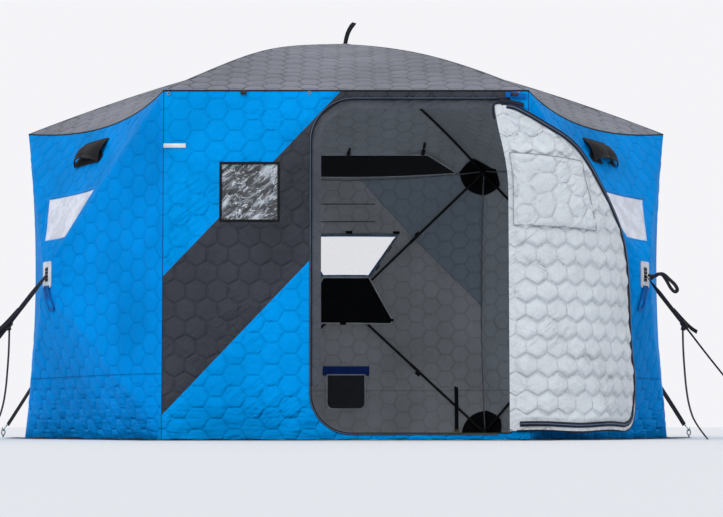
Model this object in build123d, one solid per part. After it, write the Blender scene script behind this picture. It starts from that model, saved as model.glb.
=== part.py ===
"""Six-sided soft-walled ice fishing shelter with a swinging fabric door, guyed to the ice.

Millimetres, +Z up. The origin is on the ground under the middle of the whole outline, anchors
included. The front wall, with the door, faces -Y. The five other walls are pushed out by a hub.
"""
from math import cos, hypot, radians, sin, tan
import os

from build123d import *

# ---- Shelter body ----
SIDE = 1833.0            # side of the hexagonal plan, and so its corner radius
WALL_HEIGHT = 1752.0     # ground to the corner tops
PEAK_HEIGHT = 2265.0     # ground to the outside of the roof peak
HUB_HEIGHT = 872.0       # ground to the hub of each pushed-out wall
HUB_BULGE = 245.0        # how far a hub pushes its wall out of the corner plane
FABRIC = 8.0             # quilted wall thickness
CORNER_BOW = 50.0        # how far a corner seam is pulled in at half height
EAVE_PULL = 76.0         # how far an eave is pulled in at its middle
EAVE_DIP = 68.0          # how far an eave hangs at its middle
RIB_CROWN = 0.36         # how much steeper a roof rib starts than its mean slope
GORE_SAG = 24.0          # how far the middle of a roof gore hangs below its ribs
PATCH_WIDTH = 124.0      # flat patch of fabric at each hub
PATCH_HEIGHT = 154.0
PEAK_PATCH = 66.0        # corner radius of the flat patch at the roof peak
SKIRT_REACH = 150.0      # ground skirt outside the walls
SKIRT_THICKNESS = 4.0

# ---- Front wall ----
DOOR_LEFT = -175.0       # free side of the doorway
DOOR_RIGHT = 826.0       # hinge side of the doorway
DOOR_TOP = 1710.0
DOOR_SILL = 35.0
DOOR_TOP_RADIUS = 215.0
DOOR_FOOT_RADIUS = 200.0
DOOR_HINGE_RADIUS = 12.0
BAND_TOP_X = -24.0       # where the dark band's upper edge meets the front eave
BAND_DROP = 690.0        # height of the dark band, measured upright
BAND_SLOPE = 46.4        # rise of the band, degrees
HEAD_SPLIT = 0.0         # seam between the band and the door head
ZIP_WIDTH = 9.0          # zip tape round the doorway
ZIP_PROUD = 3.0
ZIP_STOP = 70.0          # end of the zip, short of the hinge side
SURROUND_WIDTH = 50.0    # draught strip inside the doorway's free side
SURROUND_LAP = 20.0      # its overlap behind the wall
SURROUND_THICKNESS = 6.0
SURROUND_FOOT = 270.0
SURROUND_HEAD = 48.0     # how far the draught strip hangs below the doorway's top
SURROUND_HINGE_HEAD = 25.0  # the same beside the hinge, clear of the leaf
SURROUND_TAPER = 110.0   # width over which it narrows
FRONT_WINDOW = 288.0     # square window, outside of its frame
FRONT_WINDOW_X = -483.0
FRONT_WINDOW_Z = 1240.0
WINDOW_FRAME = 12.0
WINDOW_FRAME_PROUD = 2.0
WINDOW_FILM = 3.0

# ---- Door leaf, swung fully back in a curve beside the front right wall ----
HINGE_X = 810.0
HINGE_OUT = 10.0         # hinge line in front of the front wall's outside
HINGE_BEAD = 4.0         # radius of the round bead along the hinged edge
LEAF_THICKNESS = 6.0
LEAF_MIDDLE_X = 435.0    # middle control of the leaf's plan curve, from the hinge
LEAF_MIDDLE_Y = -48.0
LEAF_END_X = 705.0       # free edge, from the hinge
LEAF_END_Y = 537.0
LEAF_TOP = 1680.0
LEAF_FOOT = 45.0
LEAF_OUTLINE = (         # free outline: share of the leaf's reach, height; the last three turn its corner
    (0.10, 1668.0),
    (0.34, 1530.0),
    (0.60, 1310.0),
    (0.80, 980.0),
    (0.89, 560.0),
    (0.985, 283.0),
    (0.985, 60.0),
    (0.80, 47.0),
)
LEAF_BINDING = 25.0      # zip binding round the free outline
LEAF_FLAP_START = 0.03   # window flap on the leaf, shares of its reach
LEAF_FLAP_END = 0.50
LEAF_FLAP_FOOT = 1060.0
LEAF_FLAP_HEAD = 1430.0
LEAF_FLAP_RADIUS = 60.0
LEAF_FLAP_THICKNESS = 5.0

# ---- Wall windows and vent hoods ----
WALL_WINDOW_HEAD = 1315.0
WALL_WINDOW_FOOT = 1060.0
WALL_WINDOW_HEAD_WIDTH = 670.0
WALL_WINDOW_FOOT_WIDTH = 300.0
HOOD_WIDTH = 470.0
HOOD_TOP = 1605.0
HOOD_END = 1510.0
HOOD_LIP_MIDDLE = 1490.0
HOOD_LIP_END = 1450.0
HOOD_REACH = 92.0
HOOD_THICKNESS = 4.0
HOOD_SEAT = 2.0

# ---- Frame ----
POLE_RADIUS = 5.5
FERRULE_RADIUS = 7.5
FERRULE_LENGTH = 70.0
HUB_RADIUS = 45.0
HUB_THICKNESS = 30.0
SOCKET_RADIUS = 22.0
SOCKET_INSET = 45.0      # socket centres, in from the corners
SOCKET_DROP = 36.0       # top socket centres, below the corner tops
FOOT_HEIGHT = 54.0
PEAK_HUB_RADIUS = 55.0
PEAK_HUB_THICKNESS = 28.0
ROOF_POLE_DROP = 24.0    # roof poles below the ribs at mid-span
POLE_END_SPARE = 1.3     # slanted end of a roof pole, clear of what it meets

# ---- Hub plates, pull loops, stays and anchors ----
PLATE_WIDTH = 110.0
PLATE_HEIGHT = 140.0
PLATE_THICKNESS = 4.0
PLATE_RADIUS = 12.0
PLATE_SLOT_WIDTH = 34.0
PLATE_SLOT_HEIGHT = 10.0
WEBBING_WIDTH = 25.0
WEBBING_THICKNESS = 2.5
HUB_LOOP_LENGTH = 120.0
HUB_LOOP_DEPTH = 26.0
PEAK_LOOP_HEIGHT = 150.0
PEAK_LOOP_WIDTH = 46.0
PEAK_LOOP_LEAN = 35.0    # degrees from upright, towards +X
ANCHOR_RADIUS = 2500.0   # ground anchors, from the middle of the plan
STAY_END_HEIGHT = 78.0
STAY_END_GAP = 36.0      # stay's end short of its anchor
BUCKLE_SHARE = 0.34      # place of the buckle along the stay
BUCKLE_LENGTH = 52.0
BUCKLE_WIDTH = 38.0
BUCKLE_THICKNESS = 12.0
KEEPER_LENGTH = 16.0
KEEPER_THICKNESS = 7.0
KEEPER_SPARE = 5.0       # keeper and hook bar wider than the webbing
HOOK_BAR_SPARE = 8.0
HOOK_WIRE = 2.5          # radius of the hook's wire
HOOK_CLEARANCE = 0.3
HOOK_TIP = 14.0          # height of the hook's tip over the eye's wire
ANCHOR_WIRE = 4.0        # radius of the anchor eye's wire
ANCHOR_EYE = 17.0        # radius of the eye, to the wire's middle
ANCHOR_STEM = 6.0        # radius of the anchor's stem above the ground
ANCHOR_STEM_HEIGHT = 14.0

# ---- Things hung on the lining ----
NET_FRONT_WIDTH = 1040.0
NET_BACK_WIDTH = 1440.0
NET_FRONT_DEPTH = 1270.0
NET_FRONT_HEIGHT = 1782.0
NET_BACK_HEIGHT = 1668.0
NET_THICKNESS = 3.0
NET_TAB = 12.0           # hangers in from the net's edges
NET_HANGER = 3.0
NET_EAVE_GAP = 20.0      # net's back edge in from the eave
POCKET_WIDTH = 305.0
POCKET_HEIGHT = 290.0
POCKET_FOOT = 180.0
POCKET_THICKNESS = 10.0
POCKET_RADIUS = 20.0
FLAP_HEAD_WIDTH = 310.0
FLAP_FOOT_WIDTH = 630.0
FLAP_FOOT = 735.0
FLAP_THICKNESS = 5.0
FLAP_STAND_OFF = 45.0
FLAP_DROP = 8.0          # flap's seam below the window, and its fall to where it hangs
FLAP_LEAN = 4.0
FLAP_BEND = 12.0
TIE_STRAP_X = 716.0
TIE_STRAP_TOP = 328.0

CUT_SPARE = 1.0          # how far a cutter runs past a face

# ---- Where a shape's own origin lies ----
FROM_FOOT = (Align.CENTER, Align.CENTER, Align.MIN)
FROM_TOP = (Align.CENTER, Align.CENTER, Align.MAX)
FROM_CORNER = (Align.MIN, Align.MIN)

# ---- Worked out ----
APOTHEM = SIDE * cos(radians(30))
HUB_REACH = APOTHEM + HUB_BULGE
FRONT_ANGLE = 270
HUB_WALLS = {"front_left": 210, "back_left": 150, "back": 90, "back_right": 30, "front_right": 330}
ANCHOR_BACK = ANCHOR_RADIUS + ANCHOR_WIRE + 2 * HOOK_WIRE + HOOK_CLEARANCE
PLAN_SHIFT = (APOTHEM + SKIRT_REACH - ANCHOR_BACK) / 2


def to_row(point):
    """Move a point from the plan's own middle to the row's origin."""
    return Vector(point[0], point[1] + PLAN_SHIFT, point[2])


def on_wall(angle, across, out, height):
    """Point on a wall: across it to the right seen from outside, out from the middle, and up."""
    a = radians(angle)
    return to_row((out * cos(a) - across * sin(a), out * sin(a) + across * cos(a), height))


def wall_plane(angle, across, out, height):
    """Plane whose X runs across the wall, Y is up and Z points outward."""
    a = radians(angle)
    return Plane(on_wall(angle, across, out, height), x_dir=(-sin(a), cos(a), 0), z_dir=(cos(a), sin(a), 0))


def stay_plane(angle, out, height):
    """Upright plane through a wall's middle: X outward, Y up, Z along the wall."""
    a = radians(angle)
    return Plane(on_wall(angle, 0, out, height), x_dir=(cos(a), sin(a), 0), z_dir=(sin(a), -cos(a), 0))


def patch(net):
    """Smooth face through a net of control points."""
    return Face.make_bezier_surface([[Vector(p) for p in row] for row in net])


def closed_solid(outer, inner):
    """Solid between two matching sets of faces, with ruled faces along their free edges."""
    sides = []
    free_outer = free_edges(outer)
    free_inner = free_edges(inner)
    for edge in free_outer:
        middle = edge.position_at(0.5)
        match = min(free_inner, key=lambda other: (other.position_at(0.5) - middle).length)
        sides.append(Face.make_surface_from_curves(edge, match))
    return Solid(Shell(outer + inner + sides))


def free_edges(faces):
    """Edges that belong to one face only."""
    edges = [edge for face in faces for edge in face.edges()]
    middles = [edge.position_at(0.5) for edge in edges]
    free = []
    for edge, middle in zip(edges, middles):
        shared = sum((middle - other).length < 0.01 for other in middles)
        if shared == 1:
            free.append(edge)
    return free


def lerp(a, b, share):
    return Vector(a) * (1 - share) + Vector(b) * share


def save(name, *solids):
    """Write one node; several solids make a compound."""
    flat = [solid for shape in solids for solid in shape.solids()]
    export_step(flat[0] if len(flat) == 1 else Compound(children=flat), f"parts/{name}.step")
    return flat


# ---- Key curves, for the outside (inset 0) and the lining side (inset FABRIC) ----
def has_hub(angle):
    return angle % 360 != FRONT_ANGLE


def corner(angle, share, inset):
    """Corner seam at a plan angle: 0 at the foot, 0.5 the middle control, 1 at the top."""
    front = angle % 360 in (240, 300)
    bow = 2 * CORNER_BOW if share == 0.5 and not front else 0.0
    radius = SIDE - inset / cos(radians(30)) - bow
    foot = SKIRT_THICKNESS
    height = foot + (WALL_HEIGHT - inset - foot) * share
    a = radians(angle)
    return to_row((radius * cos(a), radius * sin(a), height))


def eave_middle(angle, inset):
    """Middle control of an eave; the curve itself goes half as far from the straight line."""
    pull = 2 * EAVE_PULL if has_hub(angle) else 0.0
    dip = 2 * EAVE_DIP if has_hub(angle) else 0.0
    return on_wall(angle, 0, APOTHEM - inset - pull, WALL_HEIGHT - inset - dip)


def hub_corner(angle, side, up, inset):
    """Corner of the flat hub patch: side and up are -1 or 1."""
    return on_wall(angle, side * PATCH_WIDTH / 2, HUB_REACH - inset, HUB_HEIGHT + up * PATCH_HEIGHT / 2)


def hub_wall_faces(angle, inset):
    """Five faces of a pushed-out wall: four panels between the pole ridges, and the hub patch."""
    left, right = angle - 30, angle + 30
    top_left, top_right = hub_corner(angle, -1, 1, inset), hub_corner(angle, 1, 1, inset)
    low_left, low_right = hub_corner(angle, -1, -1, inset), hub_corner(angle, 1, -1, inset)
    eave = [corner(left, 1, inset), eave_middle(angle, inset), corner(right, 1, inset)]
    hem = [corner(left, 0, inset), corner(right, 0, inset)]
    seam_left = [corner(left, share, inset) for share in (0, 0.5, 1)]
    seam_right = [corner(right, share, inset) for share in (0, 0.5, 1)]
    return [
        patch([eave, [top_left, lerp(top_left, top_right, 0.5), top_right]]),
        patch([hem, [low_left, low_right]]),
        patch([seam_left, [low_left, lerp(low_left, top_left, 0.5), top_left]]),
        patch([seam_right, [low_right, lerp(low_right, top_right, 0.5), top_right]]),
        patch([[top_left, top_right], [low_left, low_right]]),
    ]


def window_prism(angle, spare=0.0):
    """Upright prism through the upper panel, in the outline of a wall window."""
    head, foot = WALL_WINDOW_HEAD_WIDTH / 2 + spare, WALL_WINDOW_FOOT_WIDTH / 2 + spare
    outline = Polyline(
        (-foot, WALL_WINDOW_FOOT - spare), (foot, WALL_WINDOW_FOOT - spare),
        (head, WALL_WINDOW_HEAD + spare), (-head, WALL_WINDOW_HEAD + spare), close=True,
    )
    plane = wall_plane(angle, 0, APOTHEM - 2 * EAVE_PULL, 0)
    return extrude(plane * make_face(outline), amount=HUB_BULGE + 4 * EAVE_PULL)


def hub_wall(angle):
    whole = closed_solid(hub_wall_faces(angle, 0), hub_wall_faces(angle, FABRIC))
    prism = window_prism(angle)
    return whole - prism, whole & prism


def rib(angle, share, inset):
    """Roof rib: 0 at the corner, 0.5 the middle control, 1 at the peak patch."""
    reach = SIDE - inset / cos(radians(30))
    radius = reach + (PEAK_PATCH - reach) * share
    rise = PEAK_HEIGHT - WALL_HEIGHT
    height = WALL_HEIGHT - inset + rise * (1 if share == 1 else (1 + RIB_CROWN) * share)
    a = radians(angle)
    return to_row((radius * cos(a), radius * sin(a), height))


def gore_face(angle, inset):
    left, right = angle - 30, angle + 30
    top = [rib(left, 1, inset), lerp(rib(left, 1, inset), rib(right, 1, inset), 0.5), rib(right, 1, inset)]
    middle = lerp(rib(left, 0.5, inset), rib(right, 0.5, inset), 0.5) - Vector(0, 0, 4 * GORE_SAG)
    eave = [rib(left, 0, inset), eave_middle(angle, inset), rib(right, 0, inset)]
    return patch([eave, [rib(left, 0.5, inset), middle, rib(right, 0.5, inset)], top])


def roof_gore(angle):
    return closed_solid([gore_face(angle, 0)], [gore_face(angle, FABRIC)])


def peak_patch():
    """Small flat hexagon that closes the top."""
    outline = [rib(60 * i, 1, 0) for i in range(6)]
    face = make_face(Polyline(*outline, close=True))
    return extrude(face, amount=FABRIC, dir=(0, 0, -1))


# ---- Front wall ----
def front_plane(out=0.0):
    return wall_plane(FRONT_ANGLE, 0, APOTHEM - FABRIC + out, 0)


def front_prism(face):
    """Prism right through the front wall from a face in its plane."""
    return extrude(front_plane(-CUT_SPARE) * face, amount=FABRIC + 2 * CUT_SPARE)


def front_wall_blank():
    """Whole front wall, mitred to its neighbours and the roof."""
    outer, inner = [
        [patch([[corner(240, share, inset), corner(300, share, inset)] for share in (0, 1)])]
        for inset in (0, FABRIC)
    ]
    return closed_solid(outer, inner)


def doorway(spare=0.0):
    """Outline of the doorway: rounded on its free side, nearly square on the hinge side."""
    left, right = DOOR_LEFT - spare, DOOR_RIGHT + spare
    top, sill = DOOR_TOP + spare, DOOR_SILL - spare
    corners = [(left, sill), (right, sill), (right, top), (left, top)]
    radii = [DOOR_FOOT_RADIUS + spare, DOOR_HINGE_RADIUS, DOOR_HINGE_RADIUS, DOOR_TOP_RADIUS + spare]
    return FilletPolyline(*corners, radius=radii, close=True)


def band_edge(x, drop=0.0):
    """Height of the dark band's upper edge, or of its lower one with the band's drop."""
    return WALL_HEIGHT + (x - BAND_TOP_X) * tan(radians(BAND_SLOPE)) - drop


def front_regions():
    """Outlines of the five coloured pieces, wider than the wall so that they cut it cleanly."""
    far, low, high = SIDE, -WALL_HEIGHT, 2 * WALL_HEIGHT
    edge = [(-far, band_edge(-far)), (HEAD_SPLIT, band_edge(HEAD_SPLIT))]
    lower = (-far, band_edge(-far, BAND_DROP))
    sill_x = DOOR_LEFT + DOOR_FOOT_RADIUS
    split_z = band_edge(sill_x, BAND_DROP)
    head_foot = DOOR_TOP - DOOR_TOP_RADIUS
    under_door = [(sill_x, split_z), (DOOR_RIGHT, DOOR_SILL), (DOOR_RIGHT, low), (-far, low)]
    over_door = [(HEAD_SPLIT, head_foot), (DOOR_RIGHT, head_foot), (DOOR_RIGHT, high), (HEAD_SPLIT, high)]
    return {
        "front_wall_blue_upper": [edge[0], edge[1], (HEAD_SPLIT, high), (-far, high)],
        "front_wall_dark_band": [edge[0], lower, (sill_x, split_z), (HEAD_SPLIT, head_foot), edge[1]],
        "front_wall_blue_lower": [lower, *under_door],
        "front_wall_door_head": over_door,
        "front_wall_hinge_strip": [(DOOR_RIGHT, low), (far, low), (far, high), (DOOR_RIGHT, high)],
    }


def front_window_hole(size):
    return Pos(FRONT_WINDOW_X, FRONT_WINDOW_Z) * Rectangle(size, size)


def front_wall():
    """Five pieces of the front wall, split by colour beside, over and under the doorway."""
    openings = front_prism(make_face(doorway())) + front_prism(front_window_hole(FRONT_WINDOW))
    blank = front_wall_blank() - openings
    regions = {name: make_face(Polyline(*points, close=True)) for name, points in front_regions().items()}
    return {name: blank & front_prism(region) for name, region in regions.items()}


def front_window():
    inner = FRONT_WINDOW - 2 * WINDOW_FRAME
    depth = FABRIC + 2 * WINDOW_FRAME_PROUD
    border = front_window_hole(FRONT_WINDOW) - front_window_hole(inner)
    ring = extrude(front_plane(-WINDOW_FRAME_PROUD) * border, amount=depth)
    film = extrude(front_plane((FABRIC - WINDOW_FILM) / 2) * front_window_hole(inner), amount=WINDOW_FILM)
    return ring, film


def door_zip():
    """Zip tape round the doorway's free side, proud of the wall; it stops clear of the hinge."""
    ring = make_face(doorway(ZIP_WIDTH)) - make_face(doorway())
    start = DOOR_LEFT - ZIP_STOP
    stop = Pos(start, 0) * Rectangle(DOOR_RIGHT - ZIP_STOP - start, 2 * WALL_HEIGHT, align=FROM_CORNER)
    return extrude(front_plane(FABRIC) * (ring & stop), amount=ZIP_PROUD)


def door_surround():
    """Draught strip behind the doorway's free side and top."""
    left, right = DOOR_LEFT + SURROUND_WIDTH, DOOR_RIGHT + SURROUND_LAP
    top, hinge_top = DOOR_TOP - SURROUND_HEAD, DOOR_TOP - SURROUND_HINGE_HEAD
    taper = right - SURROUND_LAP - SURROUND_TAPER
    corners = [(left, 0), (right, 0), (right, hinge_top)]
    corners += [(taper, hinge_top), (taper - SURROUND_TAPER, top), (left, top)]
    clear = FilletPolyline(*corners, radius=[0, 0, 0, 0, 0, DOOR_TOP_RADIUS - SURROUND_HEAD], close=True)
    ring = make_face(doorway(SURROUND_LAP)) - make_face(clear)
    keep = Pos(DOOR_LEFT - SURROUND_LAP, SURROUND_FOOT) * Rectangle(
        DOOR_RIGHT - DOOR_LEFT, WALL_HEIGHT, align=FROM_CORNER)
    return extrude(front_plane(-SURROUND_THICKNESS) * (ring & keep), amount=SURROUND_THICKNESS)


# ---- Door leaf ----
def hinge_point(height=0.0):
    return on_wall(FRONT_ANGLE, HINGE_X, APOTHEM + HINGE_OUT, height)


def leaf_chord():
    """Upright plane through the hinge and the free edge: X along the chord, Y up."""
    start = hinge_point()
    along = Vector(LEAF_END_X, LEAF_END_Y, 0).normalized()
    return Plane(start, x_dir=along, z_dir=along.cross(Vector(0, 0, 1)))


def leaf_line(offset):
    """Plan curve of the leaf's middle, moved sideways by an offset."""
    start, middle = Vector(0, 0), Vector(LEAF_MIDDLE_X, LEAF_MIDDLE_Y)
    end = Vector(LEAF_END_X, LEAF_END_Y)
    first, last = (middle - start).normalized(), (end - middle).normalized()
    turn = first.get_signed_angle(last, Vector(0, 0, 1))
    side_first, side_last = first.rotate(Axis.Z, 90), last.rotate(Axis.Z, 90)
    bisector = (side_first + side_last).normalized() * (1 / cos(radians(turn / 2)))
    return [start + side_first * offset, middle + bisector * offset, end + side_last * offset]


def leaf_slab(low_offset, high_offset):
    """Upright curved slab that follows the leaf's plan curve."""
    inner = Bezier(*leaf_line(low_offset))
    outer = Bezier(*leaf_line(high_offset))
    face = make_face(Curve() + [inner, outer, Line(inner @ 0, outer @ 0), Line(inner @ 1, outer @ 1)])
    return Pos(hinge_point()) * extrude(face, amount=LEAF_TOP)


def leaf_reach():
    return hypot(LEAF_END_X, LEAF_END_Y)


def leaf_outline(trim=0.0):
    """Outline of the leaf in its chord plane: straight at the hinge, drooping along the free edge."""
    reach = leaf_reach() - trim
    near = HINGE_BEAD / 2
    points = [(near + (reach - near) * share, height) for share, height in LEAF_OUTLINE]
    drooped = Spline((near, LEAF_TOP - trim), *[(x, z - trim) for x, z in points[:-2]])
    foot = Bezier(drooped @ 1, Vector((drooped @ 1).X, points[-2][1]), points[-1])
    sill = Line(foot @ 1, (near, LEAF_FOOT))
    return make_face(Curve() + [drooped, foot, sill, Line(sill @ 1, drooped @ 0)])


def leaf_cutter(outline):
    depth = LEAF_END_Y
    return extrude(leaf_chord().offset(-depth) * outline, amount=2 * depth)


def door_leaf():
    """Quilted leaf with its hinge bead, and the zip binding round its free outline."""
    whole = leaf_slab(-LEAF_THICKNESS / 2, LEAF_THICKNESS / 2) & leaf_cutter(leaf_outline())
    bead = Pos(hinge_point(LEAF_FOOT)) * Cylinder(
        HINGE_BEAD, LEAF_TOP - LEAF_FOOT, align=FROM_FOOT)
    inside = leaf_cutter(leaf_outline(LEAF_BINDING))
    field = (whole & inside) + bead
    return field, whole - inside - bead


def leaf_window_flap():
    """Rolled-shut window flap on the leaf's lining side."""
    reach = leaf_reach()
    width, height = reach * (LEAF_FLAP_END - LEAF_FLAP_START), LEAF_FLAP_HEAD - LEAF_FLAP_FOOT
    outline = Pos(reach * LEAF_FLAP_START + width / 2, LEAF_FLAP_FOOT + height / 2) * RectangleRounded(
        width, height, LEAF_FLAP_RADIUS)
    face_side = -LEAF_THICKNESS / 2
    return leaf_slab(face_side - LEAF_FLAP_THICKNESS, face_side) & leaf_cutter(outline)


# ---- Vent hoods ----
def panel_out(across, height):
    """How far out an upper panel's outside lies at a point across and up the wall."""
    half, hub_half, hub_top = SIDE / 2, PATCH_WIDTH / 2, HUB_HEIGHT + PATCH_HEIGHT / 2
    share = 0.3
    for _ in range(12):
        u = (across + (1 - share) * half + share * hub_half) / (2 * ((1 - share) * half + share * hub_half))
        arch = 4 * u * (1 - u)
        eave_z = WALL_HEIGHT - EAVE_DIP * arch
        share = (eave_z - height) / (eave_z - hub_top)
    return (1 - share) * (APOTHEM - EAVE_PULL * arch) + share * HUB_REACH


def vent_hood(angle, wall):
    """Arched cloth awning over a vent: fixed along its arch, free along its lip, cut to sit on the wall."""
    half = HOOD_WIDTH / 2
    crown = 2 * HOOD_TOP - HOOD_END
    faces = []
    for inset in (0, HOOD_THICKNESS):
        ends_out = panel_out(half, HOOD_END) + HOOD_SEAT - inset
        top_out = 2 * panel_out(0, HOOD_TOP) - 2 * HOOD_SEAT - ends_out
        lip_end = panel_out(half, HOOD_LIP_END) + HOOD_SEAT - inset
        lip_out = 2 * (panel_out(0, HOOD_LIP_MIDDLE) + HOOD_REACH) - lip_end - inset
        fixed = [(-half, ends_out, HOOD_END), (0, top_out, crown - inset), (half, ends_out, HOOD_END)]
        lip = [(-half, lip_end, HOOD_LIP_END), (0, lip_out, 2 * HOOD_LIP_MIDDLE - HOOD_LIP_END - inset),
               (half, lip_end, HOOD_LIP_END)]
        faces.append([patch([[on_wall(angle, *p) for p in row] for row in (fixed, lip)])])
    hood = closed_solid(*faces) - wall
    return hood.solids().sort_by(SortBy.VOLUME)[-1]


# ---- Frame ----
def pole(start, end):
    """Straight pole with a ferrule at its middle."""
    along = end - start
    tube = Plane(start, z_dir=along) * Cylinder(
        POLE_RADIUS, along.length, align=FROM_FOOT)
    ferrule = Plane(start + along * 0.5, z_dir=along) * Cylinder(FERRULE_RADIUS, FERRULE_LENGTH)
    return tube + ferrule


def hub_middle_out():
    return HUB_REACH - FABRIC - HUB_THICKNESS / 2


def hub_block(angle):
    return wall_plane(angle, 0, hub_middle_out(), HUB_HEIGHT) * Cylinder(HUB_RADIUS, HUB_THICKNESS)


def socket_point(angle, height):
    a = radians(angle)
    radius = SIDE - SOCKET_INSET
    return to_row((radius * cos(a), radius * sin(a), height))


def top_socket(angle):
    return Pos(socket_point(angle, WALL_HEIGHT - SOCKET_DROP)) * Sphere(SOCKET_RADIUS)


def foot_block(angle):
    return Pos(socket_point(angle, 0)) * Cylinder(
        SOCKET_RADIUS, FOOT_HEIGHT, align=FROM_FOOT)


def wall_poles(angle):
    """Four poles from a hub to the wall's corners, cut to meet the hub and the sockets."""
    start = on_wall(angle, 0, hub_middle_out(), HUB_HEIGHT)
    made = []
    for side in (-30, 30):
        top_end = socket_point(angle + side, WALL_HEIGHT - SOCKET_DROP)
        foot_end = socket_point(angle + side, FOOT_HEIGHT / 2)
        made.append(pole(start, top_end) - hub_block(angle) - top_socket(angle + side))
        made.append(pole(start, foot_end) - hub_block(angle) - foot_block(angle + side))
    return made


def peak_hub():
    top = PEAK_HEIGHT - FABRIC
    return Pos(to_row((0, 0, top - PEAK_HUB_THICKNESS))) * Cylinder(
        PEAK_HUB_RADIUS, PEAK_HUB_THICKNESS, align=FROM_FOOT)


def roof_pole(angle):
    """Arched pole from a top socket's surface to the rim of the peak hub."""
    a = radians(angle)
    socket = socket_point(angle, WALL_HEIGHT - SOCKET_DROP)
    rim_height = PEAK_HEIGHT - FABRIC - PEAK_HUB_THICKNESS / 2
    rim = PEAK_HUB_RADIUS + POLE_END_SPARE
    end = to_row((rim * cos(a), rim * sin(a), rim_height))
    rise = PEAK_HEIGHT - WALL_HEIGHT
    middle = (socket + end) * 0.5
    middle.Z = WALL_HEIGHT - FABRIC + rise * (0.5 + RIB_CROWN / 4) - ROOF_POLE_DROP
    start = socket + (middle - socket).normalized() * (SOCKET_RADIUS + POLE_END_SPARE)
    arc = ThreePointArc(start, middle, end)
    section = Plane(start, z_dir=arc % 0) * Circle(POLE_RADIUS)
    turning = Axis(arc.arc_center, (arc % 0).cross(middle - start))
    return revolve(section, axis=turning, revolution_arc=(arc % 0).get_angle(arc % 1))


# ---- Hub plates, loops, stays and anchors ----
def hub_plate(angle):
    plane = wall_plane(angle, 0, HUB_REACH, HUB_HEIGHT)
    outline = RectangleRounded(PLATE_WIDTH, PLATE_HEIGHT, PLATE_RADIUS)
    slots = Pos(0, PLATE_HEIGHT / 4) * Rectangle(PLATE_SLOT_WIDTH, PLATE_SLOT_HEIGHT)
    return extrude(plane * (outline - slots), amount=PLATE_THICKNESS)


def strap_ring(width, length, thickness):
    """Flat closed loop of webbing, seen edge on, hanging from the origin down -Y."""
    outside = Pos(0, -length / 2) * SlotOverall(length, width, rotation=90)
    inside = Pos(0, -length / 2) * SlotOverall(length - 2 * thickness, width - 2 * thickness, rotation=90)
    return outside - inside


def hub_loop(angle):
    """Pull loop of webbing below a hub plate."""
    plane = stay_plane(angle, HUB_REACH + PLATE_THICKNESS + HUB_LOOP_DEPTH / 2, HUB_HEIGHT - PLATE_HEIGHT / 4)
    ring = strap_ring(HUB_LOOP_DEPTH, HUB_LOOP_LENGTH, WEBBING_THICKNESS)
    return extrude(plane * ring, amount=WEBBING_WIDTH / 2, both=True)


def peak_loop():
    """Pull loop standing on the peak patch, leaning to one side."""
    root = to_row((0, 0, PEAK_HEIGHT))
    plane = Plane(root, x_dir=(1, 0, 0), z_dir=(0, -1, 0))
    ring = Rot(0, 0, 180 - PEAK_LOOP_LEAN) * strap_ring(PEAK_LOOP_WIDTH, PEAK_LOOP_HEIGHT, WEBBING_THICKNESS)
    above = Pos(0, 0) * Rectangle(4 * PEAK_LOOP_HEIGHT, 2 * PEAK_LOOP_HEIGHT, align=(Align.CENTER, Align.MIN))
    return extrude(plane * (ring & above), amount=WEBBING_WIDTH / 2, both=True)


def stay_ends():
    """Start and end of a stay in its upright plane, from the plan's middle."""
    return (HUB_REACH + PLATE_THICKNESS, HUB_HEIGHT), (ANCHOR_RADIUS - STAY_END_GAP, STAY_END_HEIGHT)


def stay_frame(angle, share):
    """Plane on a stay: X across the strap, Z down along it."""
    (r0, z0), (r1, z1) = stay_ends()
    a = radians(angle)
    run, drop = r1 - r0, z1 - z0
    length = hypot(run, drop)
    place = on_wall(angle, 0, r0 + run * share, z0 + drop * share)
    along = Vector(cos(a) * run / length, sin(a) * run / length, drop / length)
    return Plane(place, x_dir=(-sin(a), cos(a), 0), z_dir=along), length


def stay_strap(angle):
    frame, length = stay_frame(angle, 0)
    strap = frame * Box(WEBBING_WIDTH, WEBBING_THICKNESS, length, align=FROM_FOOT)
    wall_side = wall_plane(angle, 0, HUB_REACH + PLATE_THICKNESS, HUB_HEIGHT)
    behind = wall_side * Box(PLATE_WIDTH, PLATE_HEIGHT, HUB_BULGE, align=FROM_TOP)
    return strap - behind - stay_buckle(angle)


def keeper_place(angle):
    """Bottom middle of the keeper under a buckle, where a loose tail hangs."""
    plane, _ = stay_frame(angle, BUCKLE_SHARE)
    a = radians(angle)
    drop = BUCKLE_THICKNESS / 2 + KEEPER_LENGTH
    return plane.origin - Vector(cos(a), sin(a), 0) * KEEPER_THICKNESS - Vector(0, 0, drop)


def stay_buckle(angle):
    """Buckle round the strap, with a short keeper under it."""
    frame, _ = stay_frame(angle, BUCKLE_SHARE)
    body = frame * Box(BUCKLE_WIDTH, BUCKLE_THICKNESS, BUCKLE_LENGTH)
    a = radians(angle)
    keeper = Plane(keeper_place(angle), x_dir=(-sin(a), cos(a), 0), z_dir=(0, 0, 1)) * Box(
        WEBBING_WIDTH + KEEPER_SPARE, KEEPER_THICKNESS, KEEPER_LENGTH + BUCKLE_THICKNESS / 2,
        align=FROM_FOOT)
    return body + keeper


def anchor_eye_height():
    return ANCHOR_STEM_HEIGHT + ANCHOR_EYE


def ground_anchor(angle):
    """Eye of an ice anchor on its stem, above the ground."""
    base = wall_plane(angle, 0, ANCHOR_RADIUS, 0)
    eye = wall_plane(angle, 0, ANCHOR_RADIUS, anchor_eye_height()) * Torus(ANCHOR_EYE, ANCHOR_WIRE)
    stem = Pos(base.origin) * Cylinder(ANCHOR_STEM, ANCHOR_STEM_HEIGHT, align=FROM_FOOT)
    return eye + stem


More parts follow.
